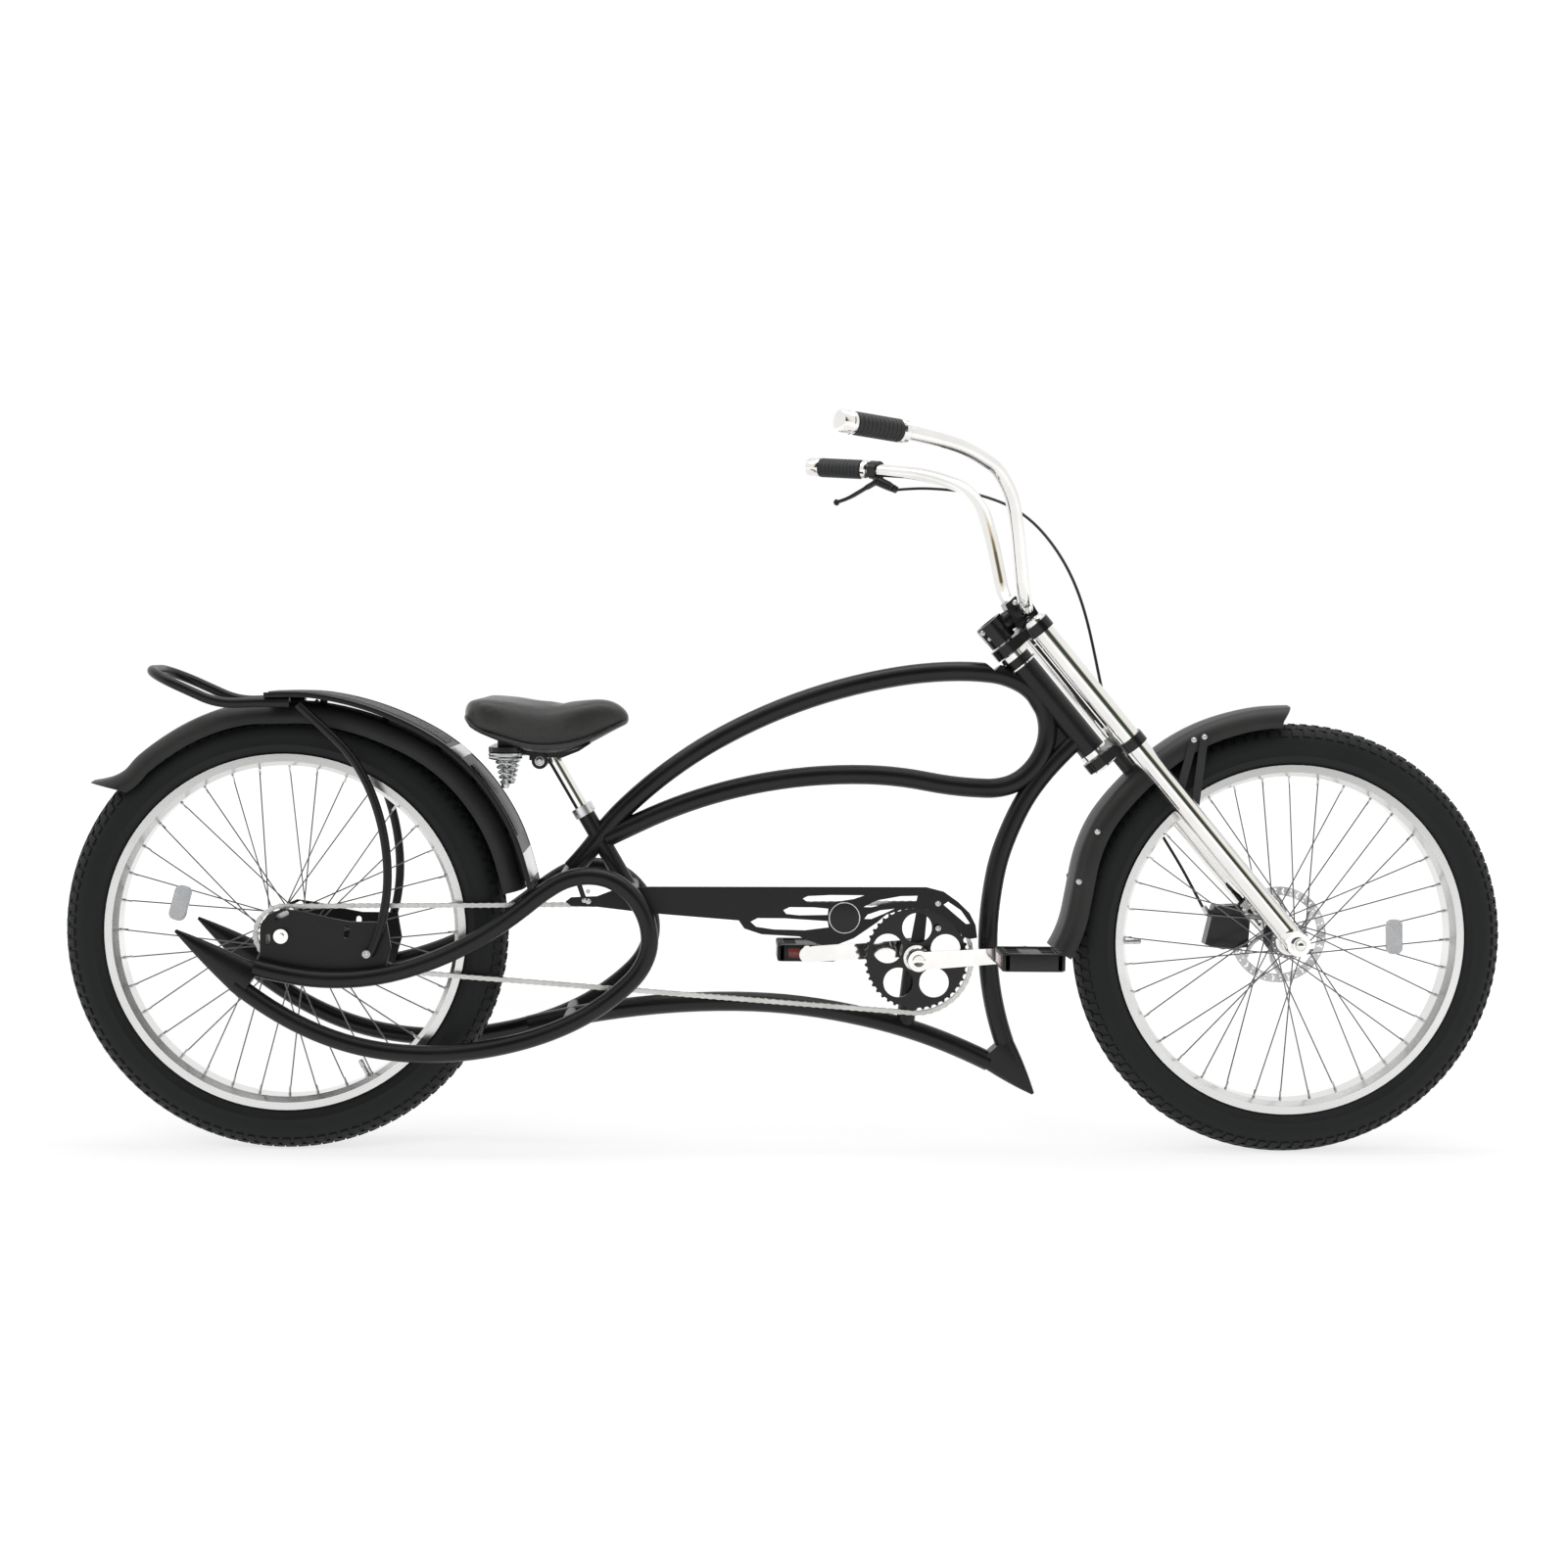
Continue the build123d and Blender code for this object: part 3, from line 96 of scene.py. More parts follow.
def place_camera():
    """The scene's camera, which looks across the bicycle from its right."""
    turn = (Matrix.Rotation(CAMERA_YAW, 3, "Z") @ Matrix.Rotation(CAMERA_PITCH, 3, "X")
            @ Matrix.Rotation(CAMERA_ROLL, 3, "Y"))
    right, forward, up = turn.col[0], turn.col[1], turn.col[2]
    data = bpy.data.cameras.new("camera")
    data.sensor_width = SENSOR
    data.lens = LENS
    data.clip_end = FAR_CLIP
    camera = shown("camera", data)
    axes = Matrix((right, up, -forward)).transposed().to_4x4()
    camera.matrix_world = Matrix.Translation(road(*CAMERA_PLACE)) @ axes
    bpy.context.scene.camera = camera


# name, place, what it faces, width and height in metres, watts, and whether mirrors show it
LIGHTS = [("key", (-1.2, -2.6, 1.9), (0.3, 0, 0), 2.4, 1.6, 26, False),
          ("top", (0.3, 0.0, 2.0), (0.3, 0, 0), 3.4, 0.9, 22, True),
          ("fill", (2.4, -2.2, 0.6), (0.3, 0, -0.3), 1.6, 1.6, 8, False)]


def soft_light(name, place, target, width, height, power, mirrored):
    """A rectangle of light that the camera doesn't see."""
    data = bpy.data.lights.new(name, "AREA")
    data.shape = "RECTANGLE"
    data.size = width
    data.size_y = height
    data.energy = power
    lamp = shown(name, data)
    lamp.location = place
    lamp.rotation_euler = (Vector(target) - Vector(place)).to_track_quat("-Z", "Y").to_euler()
    lamp.visible_camera = False
    lamp.visible_glossy = mirrored


def link_maths(tree, operation, *terms):
    """A Math node on sockets or numbers, for the world and the floor."""
    node = tree.nodes.new("ShaderNodeMath")
    node.operation = operation
    for place, term in zip(node.inputs, terms):
        if isinstance(term, (int, float)):
            place.default_value = term
        else:
            tree.links.new(term, place)
    return node.outputs[0]


# The room that mirrors show behind the camera: its colours by the cosine of the angle to that
# direction. SOFT_WORLD is the strength of the light that comes from all round.
ROOM_STOPS = [(0.50, (1.0, 1.0, 1.0)), (0.60, (0.80, 0.70, 0.50)), (0.68, (0.20, 0.19, 0.13)),
              (0.80, (0.035, 0.06, 0.048)), (0.93, (0.05, 0.065, 0.06)),
              (1.0, (0.22, 0.22, 0.21))]
SOFT_WORLD = 0.3


def studio_world():
    """White to the camera, the room to mirrors, and a soft light to the rest."""
    world = bpy.data.worlds.new("studio")
    bpy.context.scene.world = world
    world.use_nodes = True
    tree = world.node_tree
    tree.nodes.clear()
    paths = tree.nodes.new("ShaderNodeLightPath")
    output = tree.nodes.new("ShaderNodeOutputWorld")
    shaders = []
    for strength in (SOFT_WORLD, 1.0, 1.0):
        shader = tree.nodes.new("ShaderNodeBackground")
        shader.inputs["Color"].default_value = (1, 1, 1, 1)
        shader.inputs["Strength"].default_value = strength
        shaders.append(shader)
    soft, room, white = shaders
    place = tree.nodes.new("ShaderNodeTexCoord")
    split = tree.nodes.new("ShaderNodeSeparateXYZ")
    tree.links.new(place.outputs["Generated"], split.inputs[0])
    facing = link_maths(tree, "MULTIPLY", split.outputs["Y"], -1.0)
    ramp = tree.nodes.new("ShaderNodeValToRGB")
    stops = ramp.color_ramp.elements
    while len(stops) < len(ROOM_STOPS):
        stops.new(0.5)
    for stop, (position, colour) in zip(stops, ROOM_STOPS):
        stop.position = position
        stop.color = (*colour, 1)
    tree.links.new(facing, ramp.inputs[0])
    tree.links.new(ramp.outputs[0], room.inputs["Color"])
    seen = link_maths(tree, "MAXIMUM", paths.outputs["Is Camera Ray"],
                      paths.outputs["Is Transmission Ray"])
    mirrored = tree.nodes.new("ShaderNodeMixShader")
    tree.links.new(paths.outputs["Is Glossy Ray"], mirrored.inputs[0])
    tree.links.new(soft.outputs[0], mirrored.inputs[1])
    tree.links.new(room.outputs[0], mirrored.inputs[2])
    last = tree.nodes.new("ShaderNodeMixShader")
    tree.links.new(seen, last.inputs[0])
    tree.links.new(mirrored.outputs[0], last.inputs[1])
    tree.links.new(white.outputs[0], last.inputs[2])
    tree.links.new(last.outputs[0], output.inputs[0])


# The floor's half side, its own glow near the middle, and the distances in metres over which
# the glow rises to the white of the background.
FLOOR_REACH = 14.0
FLOOR_GREY = (0.5, 0.5, 0.5, 1)
FLOOR_GLOW = 0.74
FLOOR_FADE = (1.6, 3.2)


def studio_floor():
    """A pale floor that ends in the background's own white and keeps the shadow."""
    ground = bpy.data.meshes.new("floor")
    corners = [(-1, -1), (1, -1), (1, 1), (-1, 1)]
    ground.from_pydata([(x * FLOOR_REACH, y * FLOOR_REACH, ROAD_LEVEL) for x, y in corners], [],
                       [(0, 1, 2, 3)])
    floor = shown("floor", ground)
    material = bpy.data.materials.new("pale_floor")
    material.use_nodes = True
    tree = material.node_tree
    tree.nodes.clear()
    output = tree.nodes.new("ShaderNodeOutputMaterial")
    add = tree.nodes.new("ShaderNodeAddShader")
    matt = tree.nodes.new("ShaderNodeBsdfDiffuse")
    matt.inputs["Color"].default_value = FLOOR_GREY
    glow = tree.nodes.new("ShaderNodeEmission")
    paths = tree.nodes.new("ShaderNodeLightPath")
    seen = link_maths(tree, "MAXIMUM", paths.outputs["Is Camera Ray"],
                      paths.outputs["Is Glossy Ray"])
    place = tree.nodes.new("ShaderNodeTexCoord")
    length = tree.nodes.new("ShaderNodeVectorMath")
    length.operation = "LENGTH"
    tree.links.new(place.outputs["Object"], length.inputs[0])
    fade = tree.nodes.new("ShaderNodeMapRange")
    fade.inputs["From Min"].default_value, fade.inputs["From Max"].default_value = FLOOR_FADE
    fade.inputs["To Min"].default_value = FLOOR_GLOW
    fade.inputs["To Max"].default_value = 1.0
    tree.links.new(length.outputs["Value"], fade.inputs["Value"])
    tree.links.new(link_maths(tree, "MULTIPLY", seen, fade.outputs[0]), glow.inputs["Strength"])
    tree.links.new(matt.outputs[0], add.inputs[0])
    tree.links.new(glow.outputs[0], add.inputs[1])
    tree.links.new(add.outputs[0], output.inputs[0])
    ground.materials.append(material)


def studio():
    bpy.context.scene.view_settings.view_transform = "Standard"
    studio_world()
    for light in LIGHTS:
        soft_light(*light)
    studio_floor()


place_camera()
studio()


# ---- finishes -----------------------------------------------------------------------------
class Value:
    """A number that varies over a surface, with the usual arithmetic."""

    def __init__(self, tree, socket):
        self.tree = tree
        self.socket = socket

    def _math(self, operation, first, second):
        node = self.tree.nodes.new("ShaderNodeMath")
        node.operation = operation
        for place, term in zip(node.inputs, (first, second)):
            if isinstance(term, Value):
                self.tree.links.new(term.socket, place)
            else:
                place.default_value = term
        return Value(self.tree, node.outputs[0])

    def __add__(self, other):
        return self._math("ADD", self, other)

    def __radd__(self, other):
        return self._math("ADD", other, self)

    def __sub__(self, other):
        return self._math("SUBTRACT", self, other)

    def __rsub__(self, other):
        return self._math("SUBTRACT", other, self)

    def __mul__(self, other):
        return self._math("MULTIPLY", self, other)

    def __rmul__(self, other):
        return self._math("MULTIPLY", other, self)

    def sway(self, reach):
        """A value round a half moved to lie either side of 0, over a reach."""
        return (self - 0.5) * reach

    def ramp(self, low, high):
        """0 at the low value, 1 at the high one, and straight between them."""
        node = self.tree.nodes.new("ShaderNodeMapRange")
        node.inputs["From Min"].default_value = low
        node.inputs["From Max"].default_value = high
        self.tree.links.new(self.socket, node.inputs["Value"])
        return Value(self.tree, node.outputs[0])


class Finish:
    """A surface shader: constants sit on its sockets, and what varies is linked to them."""

    def __init__(self, name, colour, roughness, metallic=0.0, **constants):
        self.material = bpy.data.materials.new(name)
        self.material.use_nodes = True
        self.tree = self.material.node_tree
        self.tree.nodes.clear()
        self.surface = self.tree.nodes.new("ShaderNodeBsdfPrincipled")
        output = self.tree.nodes.new("ShaderNodeOutputMaterial")
        self.tree.links.new(self.surface.outputs[0], output.inputs[0])
        self.surface.inputs["Base Color"].default_value = (*colour, 1)
        self.surface.inputs["Roughness"].default_value = roughness
        self.surface.inputs["Metallic"].default_value = metallic
        self.material.diffuse_color = (*colour, 1)
        for key, value in constants.items():
            socket = key.replace("_", " ").title().replace("Ior", "IOR")
            self.surface.inputs[socket].default_value = value
        self.place = self.node("ShaderNodeTexCoord", output="Object")

    def node(self, kind, settings=None, links=None, output=0):
        made = self.tree.nodes.new(kind)
        for key, value in (settings or {}).items():
            setattr(made, key, value)
        for key, value in (links or {}).items():
            if isinstance(value, Value):
                self.tree.links.new(value.socket, made.inputs[key])
            else:
                made.inputs[key].default_value = value
        return Value(self.tree, made.outputs[output])

    def noise(self, scale, detail=3.0, roughness=0.5):
        return self.node("ShaderNodeTexNoise", links={
            "Vector": self.place, "Scale": scale, "Detail": detail, "Roughness": roughness})

    def cells(self, scale, feature="F1"):
        return self.node("ShaderNodeTexVoronoi", {"feature": feature},
                         {"Vector": self.place, "Scale": scale}, "Distance")

    def mix(self, share, first, second):
        made = self.tree.nodes.new("ShaderNodeMix")
        made.data_type = "RGBA"
        self.tree.links.new(share.socket, made.inputs["Factor"])
        for socket, colour in ((made.inputs[6], first), (made.inputs[7], second)):
            if isinstance(colour, Value):
                self.tree.links.new(colour.socket, socket)
            else:
                socket.default_value = (*colour, 1)
        return Value(self.tree, made.outputs[2])

    def feed(self, socket, value):
        self.tree.links.new(value.socket, self.surface.inputs[socket])

    def bump(self, height, distance, strength=1.0):
        """Raises the surface by height times distance, in metres."""
        raised = self.node("ShaderNodeBump", links={
            "Height": height, "Distance": distance, "Strength": strength})
        self.feed("Normal", raised)


def toned(colour, times, more=0.0):
    """A colour made darker or lighter."""
    return tuple(min(1.0, part * times + more) for part in colour)


def powder_paint(name, colour, roughness, speckle, peel):
    """Baked powder paint: fine peel and a little dust."""
    finish = Finish(name, colour, roughness, specular_ior_level=0.35)
    cloud = finish.noise(9.0, 4.0)
    fine = finish.noise(speckle, 2.0)
    finish.feed("Roughness", roughness + cloud.sway(0.14) + fine.sway(0.06))
    dusty = toned(colour, 1.5, 0.004)
    finish.feed("Base Color", finish.mix(cloud.ramp(0.35, 0.75), colour, dusty))
    finish.bump(fine, peel, 0.6)
    return finish.material


def bright_metal(name, colour, roughness, streak):
    """Chrome or polished metal with faint wipe marks."""
    finish = Finish(name, colour, roughness, 1.0)
    cloud = finish.noise(14.0, 5.0, 0.6)
    fine = finish.noise(420.0, 2.0)
    finish.feed("Roughness", roughness + cloud.ramp(0.45, 0.8) * streak
                + fine.sway(streak) * 0.4)
    dull = toned(colour, 0.86)
    finish.feed("Base Color", finish.mix(cloud.ramp(0.4, 0.9), colour, dull))
    return finish.material


def turned_metal(name, colour, roughness, middle):
    """Metal with fine rings round a wheel's axle."""
    finish = Finish(name, colour, roughness, 1.0)
    shift = finish.node("ShaderNodeVectorMath", {"operation": "SUBTRACT"},
                        {0: finish.place, 1: tuple(middle)})
    flat = finish.node("ShaderNodeVectorMath", {"operation": "MULTIPLY"},
                       {0: shift, 1: (1, 0, 1)})
    radius = finish.node("ShaderNodeVectorMath", {"operation": "LENGTH"}, {0: flat}, "Value")
    rings = finish.node("ShaderNodeTexNoise", {"noise_dimensions": "1D"},
                        {"W": radius * 1000, "Scale": 1.6, "Detail": 4.0})
    cloud = finish.noise(11.0, 4.0)
    finish.feed("Roughness", roughness + rings.sway(0.12) + cloud.ramp(0.5, 0.9) * 0.1)
    dull = toned(colour, 0.8)
    finish.feed("Base Color", finish.mix(rings.ramp(0.35, 0.75), colour, dull))
    return finish.material


def rubber(name, colour, roughness, dust):
    """Fine-grained rubber with dust in patches."""
    finish = Finish(name, colour, roughness, specular_ior_level=0.35)
    cloud = finish.noise(7.0, 5.0, 0.6)
    fine = finish.noise(900.0, 2.0)
    grey = toned(colour, 1.0, dust)
    finish.feed("Base Color", finish.mix(cloud.ramp(0.4, 0.8), colour, grey))
    finish.feed("Roughness", roughness + cloud.sway(0.16))
    finish.bump(fine, 0.0002, 0.5)
    return finish.material


def moulded_plastic(name, colour, roughness):
    """Plastic with the fine pits of its mould."""
    finish = Finish(name, colour, roughness)
    fine = finish.cells(1400.0)
    cloud = finish.noise(16.0)
    finish.feed("Roughness", roughness + cloud.sway(0.12))
    finish.bump(fine, 0.00012, 0.6)
    return finish.material


def saddle_leather(name, colour):
    """Grained cover: small pebbles in larger soft folds."""
    finish = Finish(name, colour, 0.42, coat_weight=0.12, coat_roughness=0.3)
    warp = finish.noise(60.0, 3.0)
    pebbles = finish.cells(620.0, feature="SMOOTH_F1")
    creases = finish.cells(520.0, feature="DISTANCE_TO_EDGE")
    cloud = finish.noise(12.0, 4.0)
    height = creases.ramp(0.0, 0.16) * 0.7 - pebbles * 0.3 + warp * 0.6
    finish.feed("Roughness", 0.40 + cloud.sway(0.2) - creases.ramp(0.0, 0.2) * 0.06)
    worn = toned(colour, 1.8, 0.004)
    finish.feed("Base Color", finish.mix(cloud.ramp(0.45, 0.85), colour, worn))
    finish.bump(height, 0.00035, 0.7)
    return finish.material


def reflector_lens(name, colour):
    """A glossy lens over small prisms."""
    finish = Finish(name, colour, 0.18, coat_weight=0.6, coat_roughness=0.05)
    prisms = finish.cells(330.0, feature="DISTANCE_TO_EDGE")
    light = toned(colour, 1.15, 0.03)
    finish.feed("Base Color", finish.mix(prisms.ramp(0.0, 0.25), light, colour))
    finish.bump(prisms, 0.0008, 0.8)
    return finish.material


BLACK = (0.0062, 0.0064, 0.0068)
FRAME_BLACK = powder_paint("frame_black", BLACK, 0.34, 700.0, 0.00008)
FENDER_GREY = powder_paint("fender_grey", (0.030, 0.032, 0.030), 0.46, 1100.0, 0.00012)
GUARD_BLACK = powder_paint("guard_black", (0.010, 0.010, 0.0105), 0.42, 800.0, 0.00006)
GLOSS_BLACK = powder_paint("gloss_black", (0.009, 0.009, 0.010), 0.2, 300.0, 0.00004)
CHROME = bright_metal("chrome", (0.86, 0.85, 0.83), 0.06, 0.05)
STEEL = bright_metal("bright_steel", (0.62, 0.63, 0.64), 0.26, 0.12)
# The spokes' steel is painted much darker than the bright steel: painted shade that stands in for
# the dark reflections the spokes show.
SHADED_SPOKE_STEEL = bright_metal("shaded_spoke_steel", (0.20, 0.20, 0.21), 0.3, 0.1)
CHAIN_STEEL = bright_metal("chain_steel", (0.70, 0.70, 0.68), 0.32, 0.12)
ALLOY = bright_metal("satin_alloy", (0.78, 0.79, 0.80), 0.3, 0.1)
REAR_RIM_METAL = turned_metal("rear_rim_metal", (0.80, 0.80, 0.79), 0.22, REAR_WHEEL)
FRONT_RIM_METAL = turned_metal("front_rim_metal", (0.80, 0.80, 0.79), 0.22, FRONT_WHEEL)
ROTOR_METAL = turned_metal("rotor_metal", (0.7, 0.7, 0.7), 0.3, FRONT_WHEEL)
TYRE_RUBBER = rubber("tyre_rubber", (0.010, 0.011, 0.012), 0.62, 0.008)
GRIP_RUBBER = rubber("grip_rubber", (0.035, 0.036, 0.037), 0.5, 0.01)
PLASTIC = moulded_plastic("black_plastic", (0.013, 0.013, 0.014), 0.42)
LEATHER = saddle_leather("saddle_leather", (0.020, 0.019, 0.018))
WHEEL_LENS = reflector_lens("wheel_lens", (0.80, 0.82, 0.85))
RIB_GREY = powder_paint("rib_grey", (0.20, 0.205, 0.20), 0.42, 700.0, 0.00006)
RED_LENS = reflector_lens("red_lens", (0.30, 0.012, 0.012))


# the finish of each construction node
NODES_OF_FINISH = [
    (FRAME_BLACK, "head_tube upper_frame_tube keel_tubes bottom_bracket "
                  "seat_tube side_loop_right side_loop_left loop_bridges "
                  "rack_loop rack_stays"),
    (CHROME, "headset_cups rear_axle seatpost fork_legs handlebar "
             "front_axle crank_arms"),
    (GUARD_BLACK, "axle_plates rack_deck chain_guard"),
    (FENDER_GREY, "rear_fender front_fender fender_straps"),
    (CHAIN_STEEL, "chain rear_sprocket"),
    (LEATHER, "saddle"),
    (STEEL, "saddle_springs steerer crank_spindle"),
    (GLOSS_BLACK, "saddle_frame fork_crowns handlebar_stem brake_lever "
                  "brake_caliper chainring"),
    (ALLOY, "seat_collar"),
    (GRIP_RUBBER, "grips"),
    (PLASTIC, "brake_cable pedal_right pedal_left"),
    (TYRE_RUBBER, "rear_tyre front_tyre"),
    (REAR_RIM_METAL, "rear_rim"),
    (SHADED_SPOKE_STEEL, "rear_hub front_hub"),
    (WHEEL_LENS, "rear_spoke_reflector front_spoke_reflector"),
    (FRONT_RIM_METAL, "front_rim"),
    (ROTOR_METAL, "brake_rotor"),
]
FINISH_OF_NODE = {name: finish for finish, names in NODES_OF_FINISH for name in names.split()}


def paint_construction():
    for name, node in nodes.items():
        node.data.materials.clear()
        node.data.materials.append(FINISH_OF_NODE[name])


paint_construction()

# ---- making pieces ------------------------------------------------------------------------
# Edges that bend more than SHARP are shaded sharp, a bevel rounds those that bend more than
# BEVELLED, and points closer than TOUCHING metres are one.
MM = 0.001
SHARP = math.radians(32)
BEVELLED = math.radians(38)
TOUCHING = 1e-6
RIGHT = (0, -1, 0)
LEFT = (0, 1, 0)
UP = (0, 0, 1)


def circle(count, radius=1.0, start=0.0):
    """Points (across, up) evenly round a circle."""
    turns = [start + 2 * math.pi * step / count for step in range(count)]
    return [(radius * math.cos(turn), radius * math.sin(turn)) for turn in turns]


def smooth_line(points, steps, closed=False):
    """Points on the smooth curve through given ones."""
    points = [Vector(point) for point in points]
    count = len(points)
    line = []
    for index in range(count if closed else count - 1):
        a, b, c, d = (points[(index + shift) % count] if closed
                      else points[min(max(index + shift, 0), count - 1)] for shift in (-1, 0, 1, 2))
        for step in range(steps):
            t = step / steps
            line.append(0.5 * ((2 * b) + (c - a) * t + (2 * a - 5 * b + 4 * c - d) * t ** 2
                               + (3 * b - a - 3 * c + d) * t ** 3))
    if not closed:
        line.append(points[-1])
    return line


class Shape:
    """Points in metres and the faces between them, which become one piece."""

    def __init__(self):
        self.points = []
        self.faces = []

    def add(self, points, faces):
        start = len(self.points)
        self.points += [tuple(point) for point in points]
        self.faces += [[start + index for index in face] for face in faces]

    def skin(self, rings, closed=False):
        """A skin over rings with equal counts, capped at its ends unless it closes on itself."""
        count = len(rings[0])
        rows = len(rings) if closed else len(rings) - 1
        faces = []
        for row in range(rows):
            here = row * count
            there = (row + 1) % len(rings) * count
            for step in range(count):
                after = (step + 1) % count
                faces.append((here + step, here + after, there + after, there + step))
        if not closed:
            faces.append(tuple(range(count)))
            faces.append(tuple(range(rows * count, rows * count + count)))
        self.add([point for ring in rings for point in ring], faces)

    def turned(self, foot, axis, profile, sides=24):
        """A solid turned about an axis from (distance along, radius) in millimetres."""
        axis = Vector(axis).normalized()
        side = axis.orthogonal().normalized()
        other = axis.cross(side)
        rings = []
        for along, radius in profile:
            middle = Vector(foot) + axis * (along * MM)
            rings.append([middle + (side * a + other * b) * MM for a, b in circle(sides, radius)])
        self.skin(rings)

    def tube(self, route, radius, sides=12, flat=1.0, up=None, closed=False):
        """A tube along points in metres. radius is in millimetres, or one for each point."""
        radii = radius if isinstance(radius, (list, tuple)) else [radius] * len(route)
        normal = Vector(up) if up else None
        rings = []
        for index, (point, size) in enumerate(zip(route, radii)):
            before = route[index - 1] if index or closed else point
            after = route[(index + 1) % len(route)] if index < len(route) - 1 or closed else point
            along = (Vector(after) - Vector(before)).normalized()
            normal = normal or along.orthogonal()
            normal = (normal - along * normal.dot(along)).normalized()
            other = along.cross(normal)
            rings.append([Vector(point) + (normal * a * flat + other * b) * MM
                          for a, b in circle(sides, size)])
        self.skin(rings, closed)

    def slab(self, outline, y0, y1):
        """A plate from an outline (x, z) of the road frame, between two values of Y."""
        self.skin([[road(x, y, z) for x, z in outline] for y in (y0, y1)])

    def block(self, middle, size):
        """A box round a point of the road frame, with its size along X, Y and Z."""
        x, y, z = middle
        a, b, c = (part / 2 for part in size)
        self.slab([(x - a, z - c), (x + a, z - c), (x + a, z + c), (x - a, z + c)], y - b, y + b)

    def thing(self, name, bevel=0.0):
        """A plain object with its faces turned outward and its edges softened by bevel mm."""
        mesh = bpy.data.meshes.new(name)
        mesh.from_pydata(self.points, [], self.faces)
        mended(mesh)
        made = shown(name, mesh)
        if bevel:
            soften = made.modifiers.new("soften", "BEVEL")
            soften.width = bevel * MM
            soften.segments = 2
            soften.limit_method = "ANGLE"
            soften.angle_limit = BEVELLED
            plain(made)
        return made


def mended(mesh):
    """Makes touching points one and turns the faces outward."""
    work = bmesh.new()
    work.from_mesh(mesh)
    bmesh.ops.remove_doubles(work, verts=work.verts, dist=TOUCHING)
    bmesh.ops.recalc_face_normals(work, faces=work.faces)
    work.to_mesh(mesh)
    work.free()


def evaluated(made):
    """A new mesh of what an object shows."""
    graph = bpy.context.evaluated_depsgraph_get()
    return bpy.data.meshes.new_from_object(made.evaluated_get(graph), depsgraph=graph)


def plain(made):
    """Turns an object with modifiers into its plain mesh."""
    mesh = evaluated(made)
    made.modifiers.clear()
    made.data = mesh
    return made


def discard(*things):
    for thing in things:
        bpy.data.objects.remove(thing)


def joined(name, things):
    """Several plain objects made into one."""
    work = bmesh.new()
    for thing in things:
        work.from_mesh(thing.data)
        discard(thing)
    mesh = bpy.data.meshes.new(name)
    work.to_mesh(mesh)
    work.free()
    return shown(name, mesh)


def finished(made, finish, body, slot, *replaced):
    """Gives a piece its finish, fixes it to its body and hides the nodes it stands for. The slot is
    not used.
    """
    mesh = made.data
    mesh.materials.clear()
    mesh.materials.append(finish)
    mesh.shade_smooth()
    mesh.set_sharp_from_angle(angle=SHARP)
    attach(made, body)
    if replaced:
        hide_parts(*replaced)
    return made


# ---- node trees for what repeats ----------------------------------------------------------
class Tree:
    """A geometry node tree with named inputs, which ends in real faces with a finish."""

    def __init__(self, name, **inputs):
        self.tree = bpy.data.node_groups.new(name, "GeometryNodeTree")
        for label, kind in inputs.items():
            self.tree.interface.new_socket(label, in_out="INPUT", socket_type="NodeSocket" + kind)
        self.tree.interface.new_socket("Result", in_out="OUTPUT",
                                       socket_type="NodeSocketGeometry")
        self.given = self.tree.nodes.new("NodeGroupInput").outputs

    def node(self, kind, settings=None, **links):
        made = self.tree.nodes.new(kind)
        for key, value in (settings or {}).items():
            setattr(made, key, value)
        for key, value in links.items():
            place = made.inputs[key.replace("_", " ")]
            if isinstance(value, bpy.types.NodeSocket):
                self.tree.links.new(value, place)
            else:
                place.default_value = value
        return made.outputs

    def instances(self, points, part, **turns):
        """The part on every point, made real and given the finish."""
        shown = self.node("GeometryNodeObjectInfo", Object=part)["Geometry"]
        many = self.node("GeometryNodeInstanceOnPoints", Points=points, Instance=shown, **turns)
        real = self.node("GeometryNodeRealizeInstances", Geometry=many["Instances"])
        painted = self.node("GeometryNodeSetMaterial", Geometry=real["Geometry"],
                            Material=self.given["Finish"])
        self.node("NodeGroupOutput", Result=painted["Geometry"])
        return self

    def make(self, name, base=None, **values):
        """Runs the tree on a base mesh with the named values and returns the plain result."""
        if base is None:
            base = bpy.data.meshes.new(name)
        made = shown(name, base)
        modifier = made.modifiers.new("repeat", "NODES")
        modifier.node_group = self.tree
        for item in self.tree.interface.items_tree:
            if item.in_out == "INPUT" and item.name in values:
                modifier[item.identifier] = values[item.name]
        made.update_tag()
        bpy.context.view_layer.update()
        return plain(made)


def round_axle_tree():
    """Parts round a wheel's axle, each with its own Z pointing away from it."""
    tree = Tree("round_axle", Count="Int", Radius="Float", Start="Float", Part="Object",
                Finish="Material")
    ring = tree.node("GeometryNodeMeshCircle", Vertices=tree.given["Count"],
                     Radius=tree.given["Radius"])["Mesh"]
    upright = tree.node("GeometryNodeTransform", Geometry=ring,
                        Rotation=(math.pi / 2, 0, 0))["Geometry"]
    start = tree.node("ShaderNodeCombineXYZ", Y=tree.given["Start"])["Vector"]
    placed = tree.node("GeometryNodeTransform", Geometry=upright, Rotation=start)["Geometry"]
    out = tree.node("GeometryNodeInputPosition")["Position"]
    turn = tree.node("FunctionNodeAlignRotationToVector", {"axis": "Z", "pivot_axis": "Y"},
                     Vector=out)["Rotation"]
    return tree.instances(placed, tree.given["Part"], Rotation=turn)


